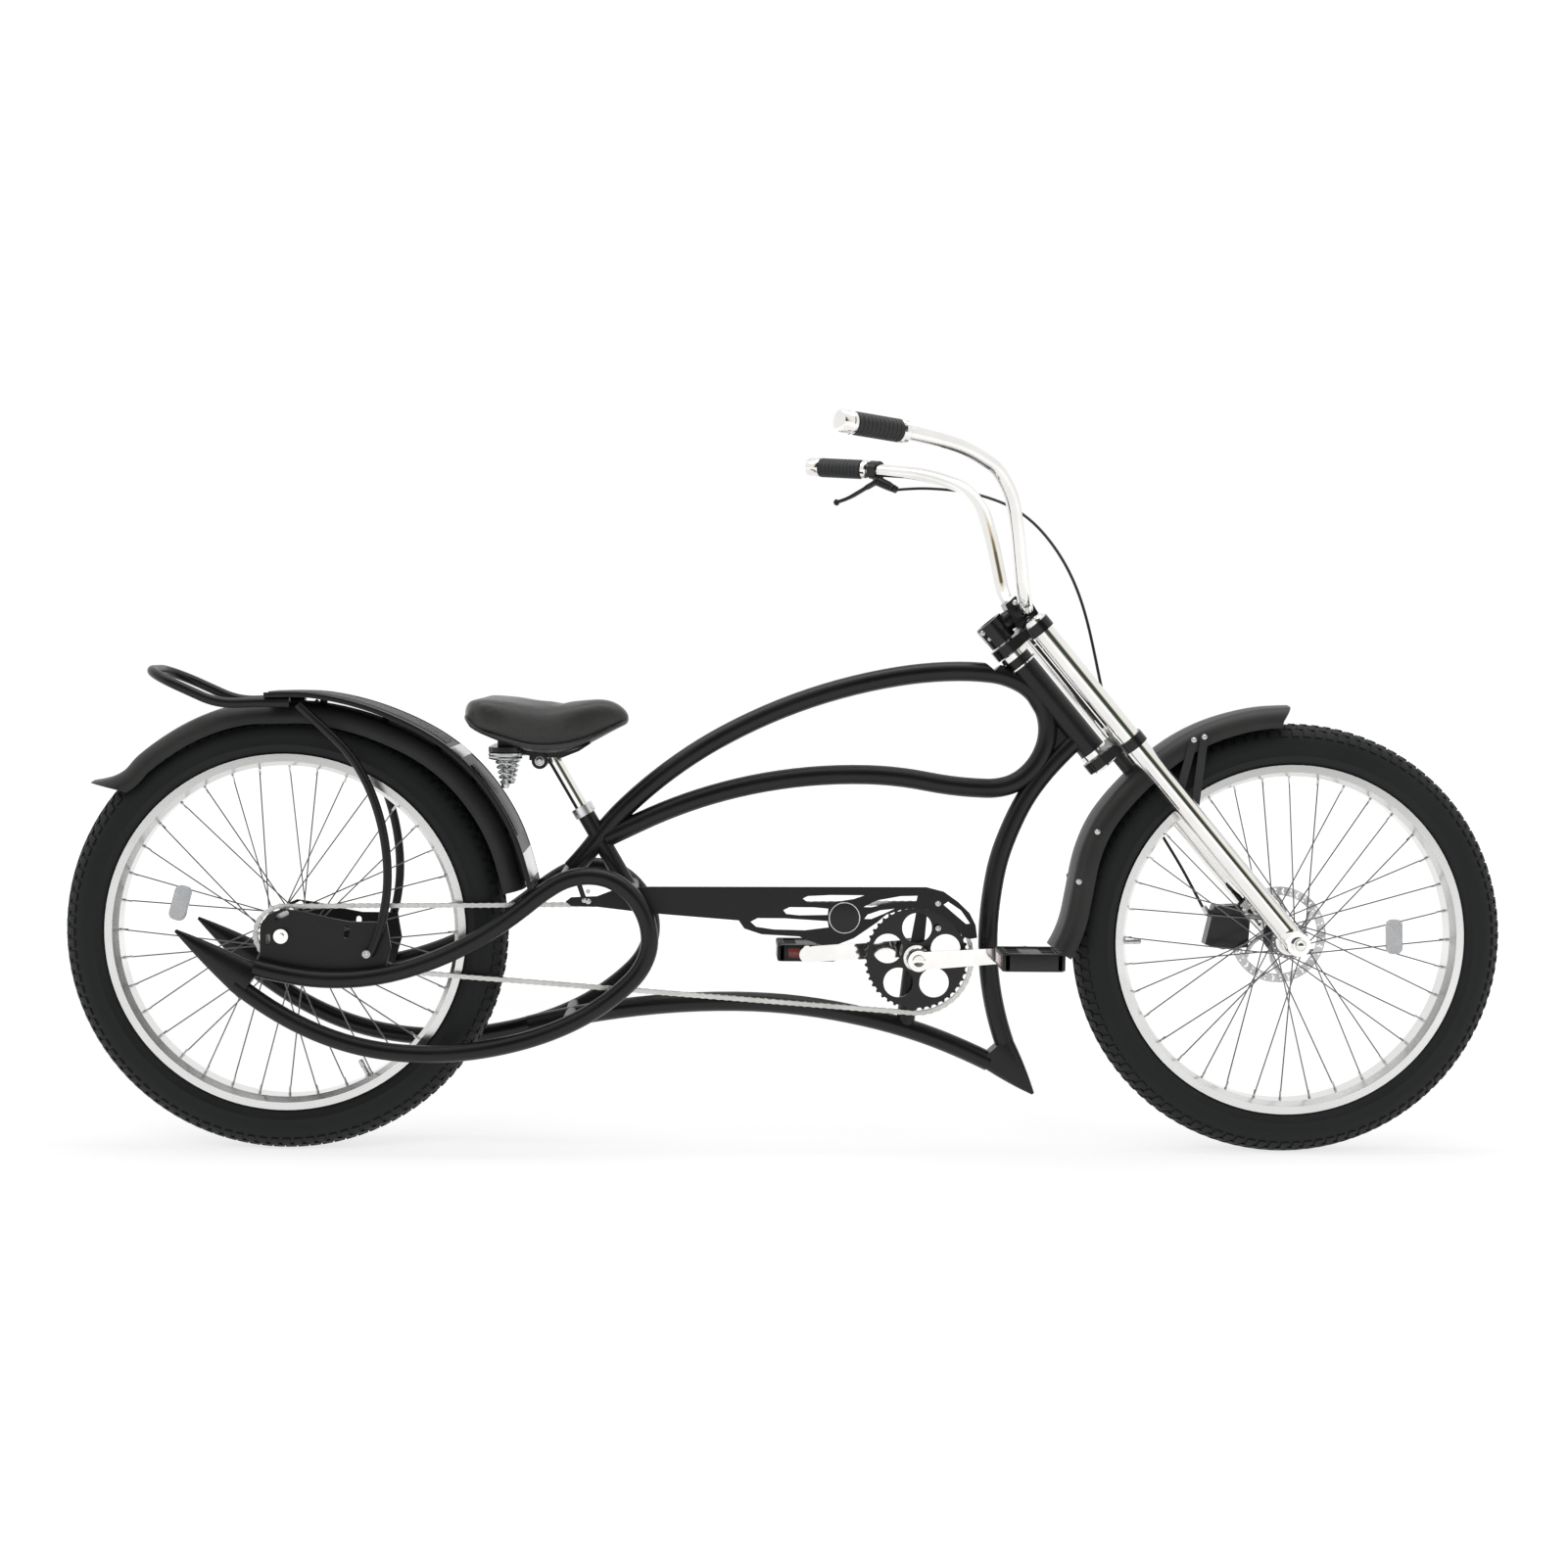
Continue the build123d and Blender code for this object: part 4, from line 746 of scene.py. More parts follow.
def placed_tree(name, axis, pivot):
    """Parts on the points of a mesh, with one axis along each point's lie, at its own size."""
    tree = Tree(name, Places="Geometry", Part="Object", Finish="Material")
    lie = tree.node("GeometryNodeInputNamedAttribute", {"data_type": "FLOAT_VECTOR"},
                    Name="lie")["Attribute"]
    size = tree.node("GeometryNodeInputNamedAttribute", {"data_type": "FLOAT"},
                     Name="size")["Attribute"]
    turn = tree.node("FunctionNodeAlignRotationToVector", {"axis": axis, "pivot_axis": pivot},
                     Vector=lie)["Rotation"]
    return tree.instances(tree.given["Places"], tree.given["Part"], Rotation=turn, Scale=size)


def row_tree():
    """Copies of a part in a straight row."""
    tree = Tree("row", Count="Int", First="Vector", Step="Vector", Part="Object",
                Finish="Material")
    line = tree.node("GeometryNodeMeshLine", Count=tree.given["Count"],
                     Start_Location=tree.given["First"], Offset=tree.given["Step"])["Mesh"]
    return tree.instances(line, tree.given["Part"])


def places(name, rows):
    """A mesh of loose points, each with the direction it lies along and its size."""
    mesh = bpy.data.meshes.new(name)
    mesh.from_pydata([point for point, _, _ in rows], [], [])
    lie = mesh.attributes.new("lie", "FLOAT_VECTOR", "POINT")
    lie.data.foreach_set("vector", [part for _, direction, _ in rows for part in direction])
    size = mesh.attributes.new("size", "FLOAT", "POINT")
    size.data.foreach_set("value", [scale for _, _, scale in rows])
    return mesh


ROUND_AXLE = round_axle_tree()
PLACED = placed_tree("placed", "Z", "AUTO")
LINKED = placed_tree("linked", "X", "Y")
ROW = row_tree()


# ---- tyres and wheels ---------------------------------------------------------------------
# The tyre's section: the radius of its middle, how far the crown rises over it and its half
# width, then its side wall (radius, half width) down to the rim's bed.
SECTION_RADIUS = 314.0
CROWN_RISE = 36.0
TYRE_HALF = 37.2
TREAD_RISE = 1.9
TREAD_COUNT = 112
LUG_SINK = 0.8
LUG_FLARE = 0.7
LUG_STEPS = 3
WALL = [(303, 36.9), (301, 37.5), (299, 36.6), (293, 34.2), (288, 29.5), (286.4, 26.4),
        (278.4, 26.0)]


def section_point(turn, rise=0.0):
    """A point (radius, y) of the tyre's outside, turned from its crown by degrees."""
    angle = math.radians(turn)
    return (SECTION_RADIUS + (CROWN_RISE + rise) * math.cos(angle),
            (TYRE_HALF + rise) * math.sin(angle))


def carcass(middle):
    """The tyre's body without its tread."""
    side = [section_point(turn) for turn in range(15, 91, 15)] + WALL
    outline = [(r, -y) for r, y in reversed(side)] + [section_point(0)] + side
    rings = []
    for a, b in circle(128):
        rings.append([middle + Vector((a * r, y, b * r)) * MM for r, y in outline])
    shape = Shape()
    shape.skin(rings, closed=True)
    return shape.thing("carcass")


def lug(shape, low, high, width, lean=0.0):
    """A tread block across the section from one turn to another, in degrees."""
    rings = []
    for step in range(LUG_STEPS + 1):
        turn = low + (high - low) * step / LUG_STEPS
        shift = lean * (step / LUG_STEPS - 0.5)
        ring = []
        for rise, half in ((-LUG_SINK, width / 2 + LUG_FLARE), (TREAD_RISE, width / 2)):
            radius, y = section_point(turn, rise)
            ring.append([(side * half + shift, y, radius - SECTION_RADIUS) for side in (-1, 1)])
        rings.append([Vector(p) * MM for p in (*ring[0], *reversed(ring[1]))])
    shape.skin(rings)


def tread_parts():
    """The lugs of one pitch: shoulders with the centre one, and those between."""
    outer = Shape()
    for side in (-1, 1):
        lug(outer, 40 * side, 60 * side, 12.0, 2.0 * side)
    lug(outer, -9, 9, 9.0)
    inner = Shape()
    for side in (-1, 1):
        lug(inner, 15 * side, 37 * side, 10.5, 3.5 * side)
    return outer.thing("outer_lugs"), inner.thing("inner_lugs")


def tyre(name, middle, parts):
    """A wheel's tyre: the carcass and rows of lugs round it."""
    rows = []
    for index, part in enumerate(parts):
        start = math.pi / TREAD_COUNT * index
        rows.append(ROUND_AXLE.make("lugs", Count=TREAD_COUNT, Radius=SECTION_RADIUS * MM,
                                    Start=start, Part=part, Finish=TYRE_RUBBER))
        rows[-1].data.transform(Matrix.Translation(middle))
    made = joined(name + "_tread_tyre", [carcass(middle), *rows])
    return finished(made, TYRE_RUBBER, name + "_wheel", "tyre_rubber", name + "_tyre")


SPOKE_SIDES = 18
NIPPLE_RADIUS = 266.9
VALVE_TURN = {"rear": -61.6, "front": 181.8}
HUB_FACE = 30.2
SPOKE_HEAD_RADIUS = 27.5
SPOKE_HEAD_START = 0.09


def spoke_trim(name, middle):
    """The nipples at the rim and the tyre's valve."""
    rows = []
    for side in (-1, 1):
        nipple = Shape()
        nipple.turned(Vector((0, side * 4, 0)) * MM, (0, 0, -1),
                      [(-2, 2.6), (2.5, 2.6), (3.5, 1.9), (11, 1.7), (12.5, 1.4)], 8)
        part = nipple.thing("nipple")
        rows.append(ROUND_AXLE.make("nipples", Count=SPOKE_SIDES, Radius=NIPPLE_RADIUS * MM,
                                    Start=math.radians(5 * (1 + side)), Part=part, Finish=STEEL))
        rows[-1].data.transform(Matrix.Translation(middle))
        discard(part)
    turn = math.radians(VALVE_TURN[name])
    out = Vector((math.cos(turn), 0, math.sin(turn)))
    valve = Shape()
    valve.turned(middle + out * (NIPPLE_RADIUS * MM), -out,
                 [(-2, 6), (1, 6), (2, 4), (16, 3.6), (17, 4.2), (27, 4.0), (28.5, 2.8)], 16)
    made = joined(name + "_nipples_and_valve", [*rows, valve.thing("valve")])
    return finished(made, STEEL, name + "_wheel", "hub_metal")


def hub_trim(name, middle):
    """Rolled rings on the hub and the heads of the spokes on its flanges."""
    shape = Shape()
    for side in (-1, 1):
        foot = middle + Vector((0, side * HUB_FACE, 0)) * MM
        shape.turned(foot, (0, side, 0), [(0, 24), (1.2, 24), (3, 20), (12, 18.2), (15.7, 18.0),
                                          (17.2, 16)], 32)
        for across, up in circle(SPOKE_SIDES, SPOKE_HEAD_RADIUS, SPOKE_HEAD_START):
            head = foot + Vector((across, 0, up)) * MM
            shape.turned(head, (0, side, 0), [(0, 1.9), (0.9, 1.5), (1.3, 0.6)], 8)
    return finished(shape.thing(name + "_hub_rings"), CHROME, name + "_wheel", "hub_metal")


def perforated(name, rings, middle, y0, y1):
    """A flat disc with holes, from circles (across, up, radius, sides) in mm round a point."""
    flat = bpy.data.curves.new(name, "CURVE")
    flat.dimensions = "2D"
    flat.fill_mode = "BOTH"
    flat.extrude = (y1 - y0) / 2 * MM
    for across, up, radius, sides in rings:
        spline = flat.splines.new("POLY")
        spline.use_cyclic_u = True
        spline.points.add(sides - 1)
        for point, (a, b) in zip(spline.points, circle(sides, radius)):
            point.co = ((across + a) * MM, (up + b) * MM, 0, 1)
    made = shown(name, flat)
    mesh = evaluated(made)
    discard(made)
    mesh.transform(Matrix.Rotation(math.pi / 2, 4, "X"))
    mesh.transform(Matrix.Translation(middle + Vector((0, (y0 + y1) / 2, 0)) * MM))
    mended(mesh)
    return shown(name, mesh)


# The rotor: the radii of its ring, the two faces it lies between, its rows of holes (radius of
# the row, count, radius of a hole) and its swept arms.
ROTOR_OUTER = 80
ROTOR_INNER = 65.5
ROTOR_FACES = (43, 45)
ROTOR_HOLES = [(76, 36, 1.7), (69.5, 36, 1.5), (72.6, 18, 2.0)]
ROTOR_ARMS = 6
ARM_FOOT = 20
ARM_LENGTH = 46.5
ARM_SWEEP = 0.62
ARM_WIDTHS = [5.0, 4.2, 3.6, 3.6, 4.6]


def brake_disc():
    """The rotor: a drilled ring carried by swept arms."""
    rings = [(0, 0, ROTOR_OUTER, 96), (0, 0, ROTOR_INNER, 72)]
    for radius, count, hole in ROTOR_HOLES:
        rings += [(a, b, hole, 8) for a, b in circle(count, radius, 0.05 * hole)]
    ring = perforated("ring", rings, FRONT_WHEEL, *ROTOR_FACES)
    spider = Shape()
    for arm in range(ROTOR_ARMS):
        start = math.radians(360 / ROTOR_ARMS * arm)
        route = []
        for step in range(len(ARM_WIDTHS)):
            share = step / (len(ARM_WIDTHS) - 1)
            turn = start + ARM_SWEEP * share
            reach = ARM_FOOT + ARM_LENGTH * share
            spot = Vector((reach * math.cos(turn), sum(ROTOR_FACES) / 2, reach * math.sin(turn)))
            route.append(FRONT_WHEEL + spot * MM)
        spider.tube(route, ARM_WIDTHS, 8, flat=0.24, up=LEFT)
    spider.turned(FRONT_WHEEL + Vector((0, 42.9, 0)) * MM, LEFT,
                  [(0, 24), (2.2, 24), (3.0, 22.5)], 36)
    made = joined("drilled_rotor", [ring, spider.thing("spider")])
    return finished(made, ROTOR_METAL, "front_wheel", "steel", "brake_rotor")


LUGS = tread_parts()
for wheel, hub_middle in (("rear", REAR_WHEEL), ("front", FRONT_WHEEL)):
    tyre(wheel, hub_middle, LUGS)
    spoke_trim(wheel, hub_middle)
    hub_trim(wheel, hub_middle)
discard(*LUGS)
brake_disc()


# ---- chain and cranks ---------------------------------------------------------------------
# The chain's pitch and plane, the teeth of the sprocket and the chainring, and the middles of
# both (x, z).
PITCH = 12.7
CHAIN_Y = -45.0
CHAIN_TEETH = (22, 44)
PLATE_END = 4.1
PLATE_HALF = 0.55
CRANK_MIDDLE = (1009.0, 319.0)
REAR_MIDDLE = (0.0, 350.0)


def chain_line(count):
    """Evenly spaced points and directions (x, z, turn) round the sprocket and the chainring."""
    small, large = (PITCH / (2 * math.sin(math.pi / teeth)) for teeth in CHAIN_TEETH)
    dx = CRANK_MIDDLE[0] - REAR_MIDDLE[0]
    dz = CRANK_MIDDLE[1] - REAR_MIDDLE[1]
    span = math.hypot(dx, dz)
    base = math.atan2(dz, dx)
    lean = math.acos((small - large) / span)
    straight = math.sqrt(span ** 2 - (large - small) ** 2)
    # each run's length, the middle and radius of its wheel, its first turn, and whether it bends
    runs = [(straight, REAR_MIDDLE, small, base + lean, False),
            (large * (2 * lean), CRANK_MIDDLE, large, base + lean, True),
            (straight, CRANK_MIDDLE, large, base - lean, False),
            (small * (2 * math.pi - 2 * lean), REAR_MIDDLE, small, base - lean, True)]
    whole = sum(run[0] for run in runs)
    line = []
    for index in range(count):
        at = whole * index / count
        for length, (x, z), radius, turn, bends in runs:
            if at < length:
                break
            at -= length
        if bends:
            turn -= at / radius
        heading = turn - math.pi / 2
        along = 0 if bends else at
        line.append((x + radius * math.cos(turn) + along * math.cos(heading),
                     z + radius * math.sin(turn) + along * math.sin(heading), heading))
    return line, whole


def link_part(name, y, waist, with_roller):
    """Two waisted plates and the pin or roller at one end."""
    outline = []
    for end in (1, -1):
        for step in range(-3, 4):
            turn = math.radians(25 * step) + (0 if end == 1 else math.pi)
            outline.append((end * PITCH / 2 + PLATE_END * math.cos(turn),
                            PLATE_END * math.sin(turn)))
        outline.append((0, end * waist))
    shape = Shape()
    for side in (-1, 1):
        shape.skin([[Vector((x, side * (y + thick), z)) * MM for x, z in outline]
                    for thick in (-PLATE_HALF, PLATE_HALF)])
    for end in (-1, 1):
        foot = Vector((end * PITCH / 2, -y - 0.9, 0)) * MM
        radius = 3.8 if with_roller else 1.9
        shape.turned(foot, LEFT, [(0, radius * 0.8), (0.3, radius), (2 * y + 1.5, radius),
                                       (2 * y + 1.8, radius * 0.8)], 8)
    return shape.thing(name)


def chain():
    """Outer and inner links in turn round both wheels."""
    whole = chain_line(2)[1]
    count = 2 * round(whole / PITCH / 2)
    line = chain_line(count)[0]
    rows = []
    for start, part in ((0, link_part("outer_link", 3.4, 3.0, False)),
                        (1, link_part("inner_link", 2.1, 3.2, True))):
        spots = [(road(x, CHAIN_Y, z), (math.cos(turn), 0, math.sin(turn)), 1.0)
                 for x, z, turn in line[start::2]]
        rows.append(LINKED.make("links", places("link_places", spots), Part=part,
                                Finish=CHAIN_STEEL))
        discard(part)
    return finished(joined("chain_links", rows), CHAIN_STEEL, "frame", "chain_steel", "chain")


def crank_trim():
    """The dust caps on the spindle and the spider behind the chainring."""
    shape = Shape()
    middle = road(CRANK_MIDDLE[0], 0, CRANK_MIDDLE[1])
    for side in (-1, 1):
        shape.turned(middle + Vector((0, side * 82, 0)) * MM, (0, side, 0),
                     [(-2, 10.5), (0.6, 10.5), (1.4, 9.0), (1.0, 6.2), (0.4, 3.0)], 24)
    shape.turned(middle + Vector((0, -41.5, 0)) * MM, RIGHT,
                 [(-1.6, 24), (2.5, 24), (5, 21), (9, 17), (26, 15.5)], 32)
    return finished(shape.thing("crank_caps"), CHROME, "crankset", "chrome")


def pedal(name, near_lens):
    """A moulded pedal: rails, ribs, a barrel on its axle and a lens on each long edge."""
    low, high = (Vector(corner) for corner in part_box(name))
    x, y, z = (low + high) / 2 / MM + RIDER
    long, wide, thick = ((high - low) / MM)
    shape = Shape()
    for end in (-1, 1):
        rail = x + end * (long / 2 - 6)
        shape.block((rail, y, z), (12, wide, thick - 5))
        shape.block((x, y + end * (wide / 2 - 4), z), (long - 8, 8, thick - 2))
        for row in range(5):
            for face in (-1, 1):
                shape.block((rail, y + (row - 2) * wide / 5.6, z + face * (thick / 2 - 2)),
                            (10, 6, 4))
    for row in range(4):
        shape.block((x, y + (row - 1.5) * wide / 5.2, z), (long - 14, 4.5, thick - 8))
    for face in (-1, 1):
        shape.block((x, y, z + face * (thick / 2 - 5)), (34, wide - 6, 3.5))
    shape.turned(road(x, y - wide / 2 + 0.3, z), LEFT,
                 [(0, 11), (1.5, 12), (wide - 2, 12), (wide - 0.6, 11)], 24)
    finished(shape.thing(name + "_tread", 0.9), PLASTIC, name, "pedal_plastic", name)
    lens = Shape()
    for end in (-1, 1):
        lens.block((x + end * (long / 2 - 1.2), y, z), (3.4, wide * 0.62, thick - 14))
    if near_lens:
        lens.block((x - 8, y - wide / 2 + 0.6, z), (46, 2.2, thick - 14))
    finished(lens.thing(name + "_lens", 0.5), RED_LENS, name, "reflector")


chain()
crank_trim()
pedal("pedal_right", False)
pedal("pedal_left", True)


# ---- saddle -------------------------------------------------------------------------------
# The cloth's grain in millimetres, its size before it is blown up, the frames it runs for, the
# furthest that a point may move in millimetres, and how far down its base faces.
SADDLE_GRAIN = 5.0
SADDLE_START = 0.985
SADDLE_FRAMES = 20
SADDLE_REACH = 6.0
SADDLE_BASE = -0.55
CLOTH = {"quality": 6, "mass": 0.4, "tension_stiffness": 30, "compression_stiffness": 30,
         "bending_stiffness": 4, "use_pressure": True, "uniform_pressure_force": 4.0,
         "vertex_group_mass": "held"}


def cushion():
    """The saddle's cover, blown up a little as padded cloth over a fixed base."""
    mesh = bpy.data.meshes.new("cushion")
    work = bmesh.new()
    work.from_mesh(nodes["saddle"].data)
    bmesh.ops.remove_doubles(work, verts=work.verts, dist=1e-5)
    middle = centre("saddle")
    bmesh.ops.scale(work, vec=(SADDLE_START,) * 3, verts=work.verts,
                    space=Matrix.Translation(-middle))
    work.to_mesh(mesh)
    work.free()
    made = shown("saddle_cushion", mesh)
    cells = made.modifiers.new("cells", "REMESH")
    cells.mode = "VOXEL"
    cells.voxel_size = SADDLE_GRAIN * MM
    soft = made.modifiers.new("soft", "SMOOTH")
    soft.factor = 0.5
    soft.iterations = 6
    plain(made)
    puff(made)
    finer = made.modifiers.new("finer", "SUBSURF")
    finer.levels = 1
    finer.render_levels = 1
    plain(made)
    finished(made, LEATHER, "frame", "saddle_cover", "saddle")


def puff(made):
    """Runs the padded cloth with its base held still."""
    held = made.vertex_groups.new(name="held")
    for vertex in made.data.vertices:
        if vertex.normal.z < SADDLE_BASE:
            held.add([vertex.index], 1.0, "REPLACE")
    cloth = made.modifiers.new("cloth", "CLOTH")
    for key, value in CLOTH.items():
        setattr(cloth.settings, key, value)
    cloth.settings.effector_weights.gravity = 0.0
    cloth.collision_settings.use_self_collision = False
    cloth.point_cache.frame_start = 1
    cloth.point_cache.frame_end = SADDLE_FRAMES
    before = [vertex.co.copy() for vertex in made.data.vertices]
    for frame_number in range(1, SADDLE_FRAMES + 1):
        bpy.context.scene.frame_set(frame_number)
    plain(made)
    limit = SADDLE_REACH * MM
    for vertex, start in zip(made.data.vertices, before):
        moved = vertex.co - start
        if moved.length > limit:
            vertex.co = start + moved.normalized() * limit
    bpy.context.scene.frame_set(1)


# the foot of the cover on one side, from its back to its nose
SADDLE_EDGE = [(289, 70, 700), (303, 104, 686), (330, 117, 674), (362, 108, 663), (400, 81, 655),
               (440, 53, 656), (480, 38, 666), (515, 31, 682), (536, 21, 692)]


def saddle_piping():
    """The welt round the foot of the cover."""
    side = [road(x, -y, z) for x, y, z in SADDLE_EDGE]
    other = [road(x, y, z) for x, y, z in reversed(SADDLE_EDGE)]
    route = smooth_line(side + other, 4, closed=True)
    shape = Shape()
    shape.tube(route, 2.6, 8, up=UP, closed=True)
    return finished(shape.thing("saddle_welt"), LEATHER, "frame", "saddle_cover")


# the coil springs: their place, their ends and their turns
SPRING_X = 350.0
SPRING_Y = 56.0
SPRING_LOW = 590.0
SPRING_HIGH = 633.0
SPRING_TURNS = 5
COIL_STEPS = 20


def saddle_coils():
    """A tapering coil under each cup, with the bolt that holds it."""
    shape = Shape()
    for side in (-1, 1):
        route = []
        steps = SPRING_TURNS * COIL_STEPS
        for step in range(steps + 1):
            share = step / steps
            radius = 5.5 + 9.5 * share ** 0.9
            turn = 2 * math.pi * SPRING_TURNS * share * side
            route.append(road(SPRING_X + radius * math.cos(turn),
                              side * SPRING_Y + radius * math.sin(turn),
                              SPRING_LOW + 3 + (SPRING_HIGH - SPRING_LOW - 4) * share))
        shape.tube(route, 2.1, 8)
        foot = road(SPRING_X, side * SPRING_Y, SPRING_LOW)
        shape.turned(foot, UP, [(-3, 5), (0, 6.5), (4, 6.5), (5, 4), (44, 4)], 16)
        cup = road(SPRING_X, side * SPRING_Y, SPRING_HIGH)
        shape.turned(cup, UP, [(-2, 17), (0, 25.5), (2, 27), (4.5, 25.6), (6.5, 27),
                                      (9.5, 27), (10.8, 25)], 36)
    return finished(shape.thing("saddle_coil_springs"), STEEL, "frame", "steel", "saddle_springs")


cushion()
saddle_piping()
saddle_coils()


# ---- rack and fenders ---------------------------------------------------------------------
# stations (x, z, heading in degrees) along the top of the rack
DECK_LINE = [(-25, 733, 2), (57, 732, -8), (159, 706, -21), (247, 662, -34), (309, 607, -49),
             (364, 523, -65), (394.5, 428, -76)]


def swept(stations, steps=8, lift=0.0):
    """Points (x, z) along stations (x, z, heading), lifted off the outside of the curve."""
    line = []
    for (x0, z0, h0), (x1, z1, h1) in zip(stations, stations[1:]):
        run = math.hypot(x1 - x0, z1 - z0)
        for step in range(steps + (h1 == stations[-1][2])):
            t = step / steps
            a = (2 * t ** 3 - 3 * t ** 2 + 1, t ** 3 - 2 * t ** 2 + t)
            b = (-2 * t ** 3 + 3 * t ** 2, t ** 3 - t ** 2)
            turn0, turn1 = math.radians(h0), math.radians(h1)
            heading = turn0 + (turn1 - turn0) * t
            x = a[0] * x0 + a[1] * run * math.cos(turn0) + b[0] * x1 + b[1] * run * math.cos(turn1)
            z = a[0] * z0 + a[1] * run * math.sin(turn0) + b[0] * z1 + b[1] * run * math.sin(turn1)
            line.append((x - lift * math.sin(heading), z + lift * math.cos(heading), heading))
    return line


def strip(shape, line, y0, y1, rise, sink=0.4):
    """A raised strip that follows a line (x, z, heading), from y0 to y1."""
    rings = []
    for x, z, heading in line:
        up = Vector((-math.sin(heading), 0, math.cos(heading))) * MM
        foot = [road(x, y, z) for y in (y0, y1)]
        rings.append([foot[0] - up * sink, foot[1] - up * sink, foot[1] + up * rise,
                      foot[0] + up * rise])
    shape.skin(rings)


# The ribs end at RIB_END. The bright bands lie between values of X, and so does the dark panel.
RIB_COUNT = 6
RIB_STEP = 15.0
RIB_END = 262
BANDS = [(263, 283), (378, 392)]
PANEL = (290, 372)


def deck_ribs():
    """Ribs along the flat of the rack."""
    line = [station for station in swept(DECK_LINE) if station[0] < RIB_END]
    rib = Shape()
    strip(rib, line, -2.2, 2.2, 2.2)
    part = rib.thing("rib")
    first = -RIB_STEP * (RIB_COUNT - 1) / 2 * MM
    ribs = ROW.make("rack_ribs", Count=RIB_COUNT, First=(0, first, 0), Step=(0, RIB_STEP * MM, 0),
                    Part=part, Finish=RIB_GREY)
    discard(part)
    return finished(ribs, RIB_GREY, "frame", "guard_paint")


def deck_trim():
    """Bright bands across the deck, with dark edges and a panel."""
    bright = Shape()
    dark = Shape()
    line = swept(DECK_LINE)
    for low, high in BANDS:
        strip(bright, [s for s in swept(DECK_LINE, 24) if low <= s[0] <= high], -76, 76, 1.0)
    for side in (-1, 1):
        strip(dark, line, side * 79 - 1.6, side * 79 + 1.6, 1.2, 6.8)
    strip(dark, [s for s in line if PANEL[0] < s[0] < PANEL[1]], -60, 60, 1.6)
    finished(bright.thing("rack_bands", 0.3), ALLOY, "frame", "steel")
    finished(dark.thing("rack_edges", 0.5), GUARD_BLACK, "frame", "guard_paint")


deck_ribs()
deck_trim()


# ---- steering -----------------------------------------------------------------------------
# The steering axis, and how far the fork legs and the axle lie ahead of it.
HEAD_TURN = math.radians(49.6)
HEAD_UP = Vector((-math.cos(HEAD_TURN), 0, math.sin(HEAD_TURN)))
HEAD_AHEAD = Vector((math.sin(HEAD_TURN), 0, math.cos(HEAD_TURN)))
FORK_OFFSET = 50.0
LEG_SIDE = 72
HEADSET_RINGS = [624.5, 413.0]
HEADSET_RADIUS = 25.0


def on_head(up, ahead=0.0, y=0.0):
    """A point by its height along the steering axis above the front axle."""
    return (FRONT_WHEEL + HEAD_AHEAD * ((ahead - FORK_OFFSET) * MM) + HEAD_UP * (up * MM)
            + Vector((0, y, 0)) * MM)


def fork_trim():
    """Caps on the fork legs, collars at the crowns, bosses at the axle and the headset rings."""
    shape = Shape()
    for side in (-1, 1):
        top = on_head(672, FORK_OFFSET, side * LEG_SIDE)
        shape.turned(top, HEAD_UP, [(-4, 18.4), (1, 18.4), (3, 17), (5.5, 12), (6.5, 5)], 32)
        axle = FRONT_WHEEL + Vector((0, side * 91, 0)) * MM
        shape.turned(axle, (0, side, 0), [(-1, 9.5), (1.5, 9.5), (5, 7.5), (7, 4), (7.6, 1.5)], 24)
        shape.turned(on_head(24, FORK_OFFSET, side * LEG_SIDE), HEAD_UP,
                     [(-2, 18), (0, 18.8), (5, 18.8), (7, 18)], 32)
    inner, outer = HEADSET_RADIUS - 3, HEADSET_RADIUS + 0.7
    for up in HEADSET_RINGS:
        shape.turned(on_head(up), HEAD_UP, [(-3, inner), (-1.2, outer), (1.2, outer),
                                            (3, inner)], 40)
    return finished(shape.thing("fork_caps_and_rings"), CHROME, "steering", "chrome")


# the left grip, from its collar to its end
GRIP_FOOT = (950.7, 341.9, 1128.9)
GRIP_TIP = (846.6, 405.1, 1137.3)
GRIP_RIBS = 11
RIBBED_LENGTH = 80


def grips():
    """Ribbed rubber between a bright collar and a bright end cap."""
    rubber_part = Shape()
    bright = Shape()
    for side in (-1, 1):
        foot = road(GRIP_FOOT[0], side * GRIP_FOOT[1], GRIP_FOOT[2])
        tip = road(GRIP_TIP[0], side * GRIP_TIP[1], GRIP_TIP[2])
        axis = tip - foot
        bright.turned(foot, axis, [(0, 12), (0.8, 15.5), (3, 17.2), (10, 17.2), (13, 15.2),
                                   (13.5, 12)], 32)
        profile = [(13, 12), (13.5, 15)]
        step = RIBBED_LENGTH / GRIP_RIBS
        for index in range(GRIP_RIBS):
            start = 14.5 + index * step
            profile += [(start, 16.2), (start + 0.6, 16.9), (start + step - 0.9, 16.9),
                        (start + step - 0.4, 16.2)]
        profile += [(95.5, 15.2), (96, 12)]
        rubber_part.turned(foot, axis, profile, 32)
        bright.turned(foot, axis, [(95.5, 12), (96, 16.4), (98, 17.4), (102, 17.4), (103, 16.4),
                                   (116, 16.8), (119.5, 15.6), (121.5, 12), (121.8, 5)], 32)
    finished(rubber_part.thing("grip_rubbers"), GRIP_RUBBER, "steering", "grip_rubber", "grips")
    finished(bright.thing("grip_ends"), CHROME, "steering", "chrome")


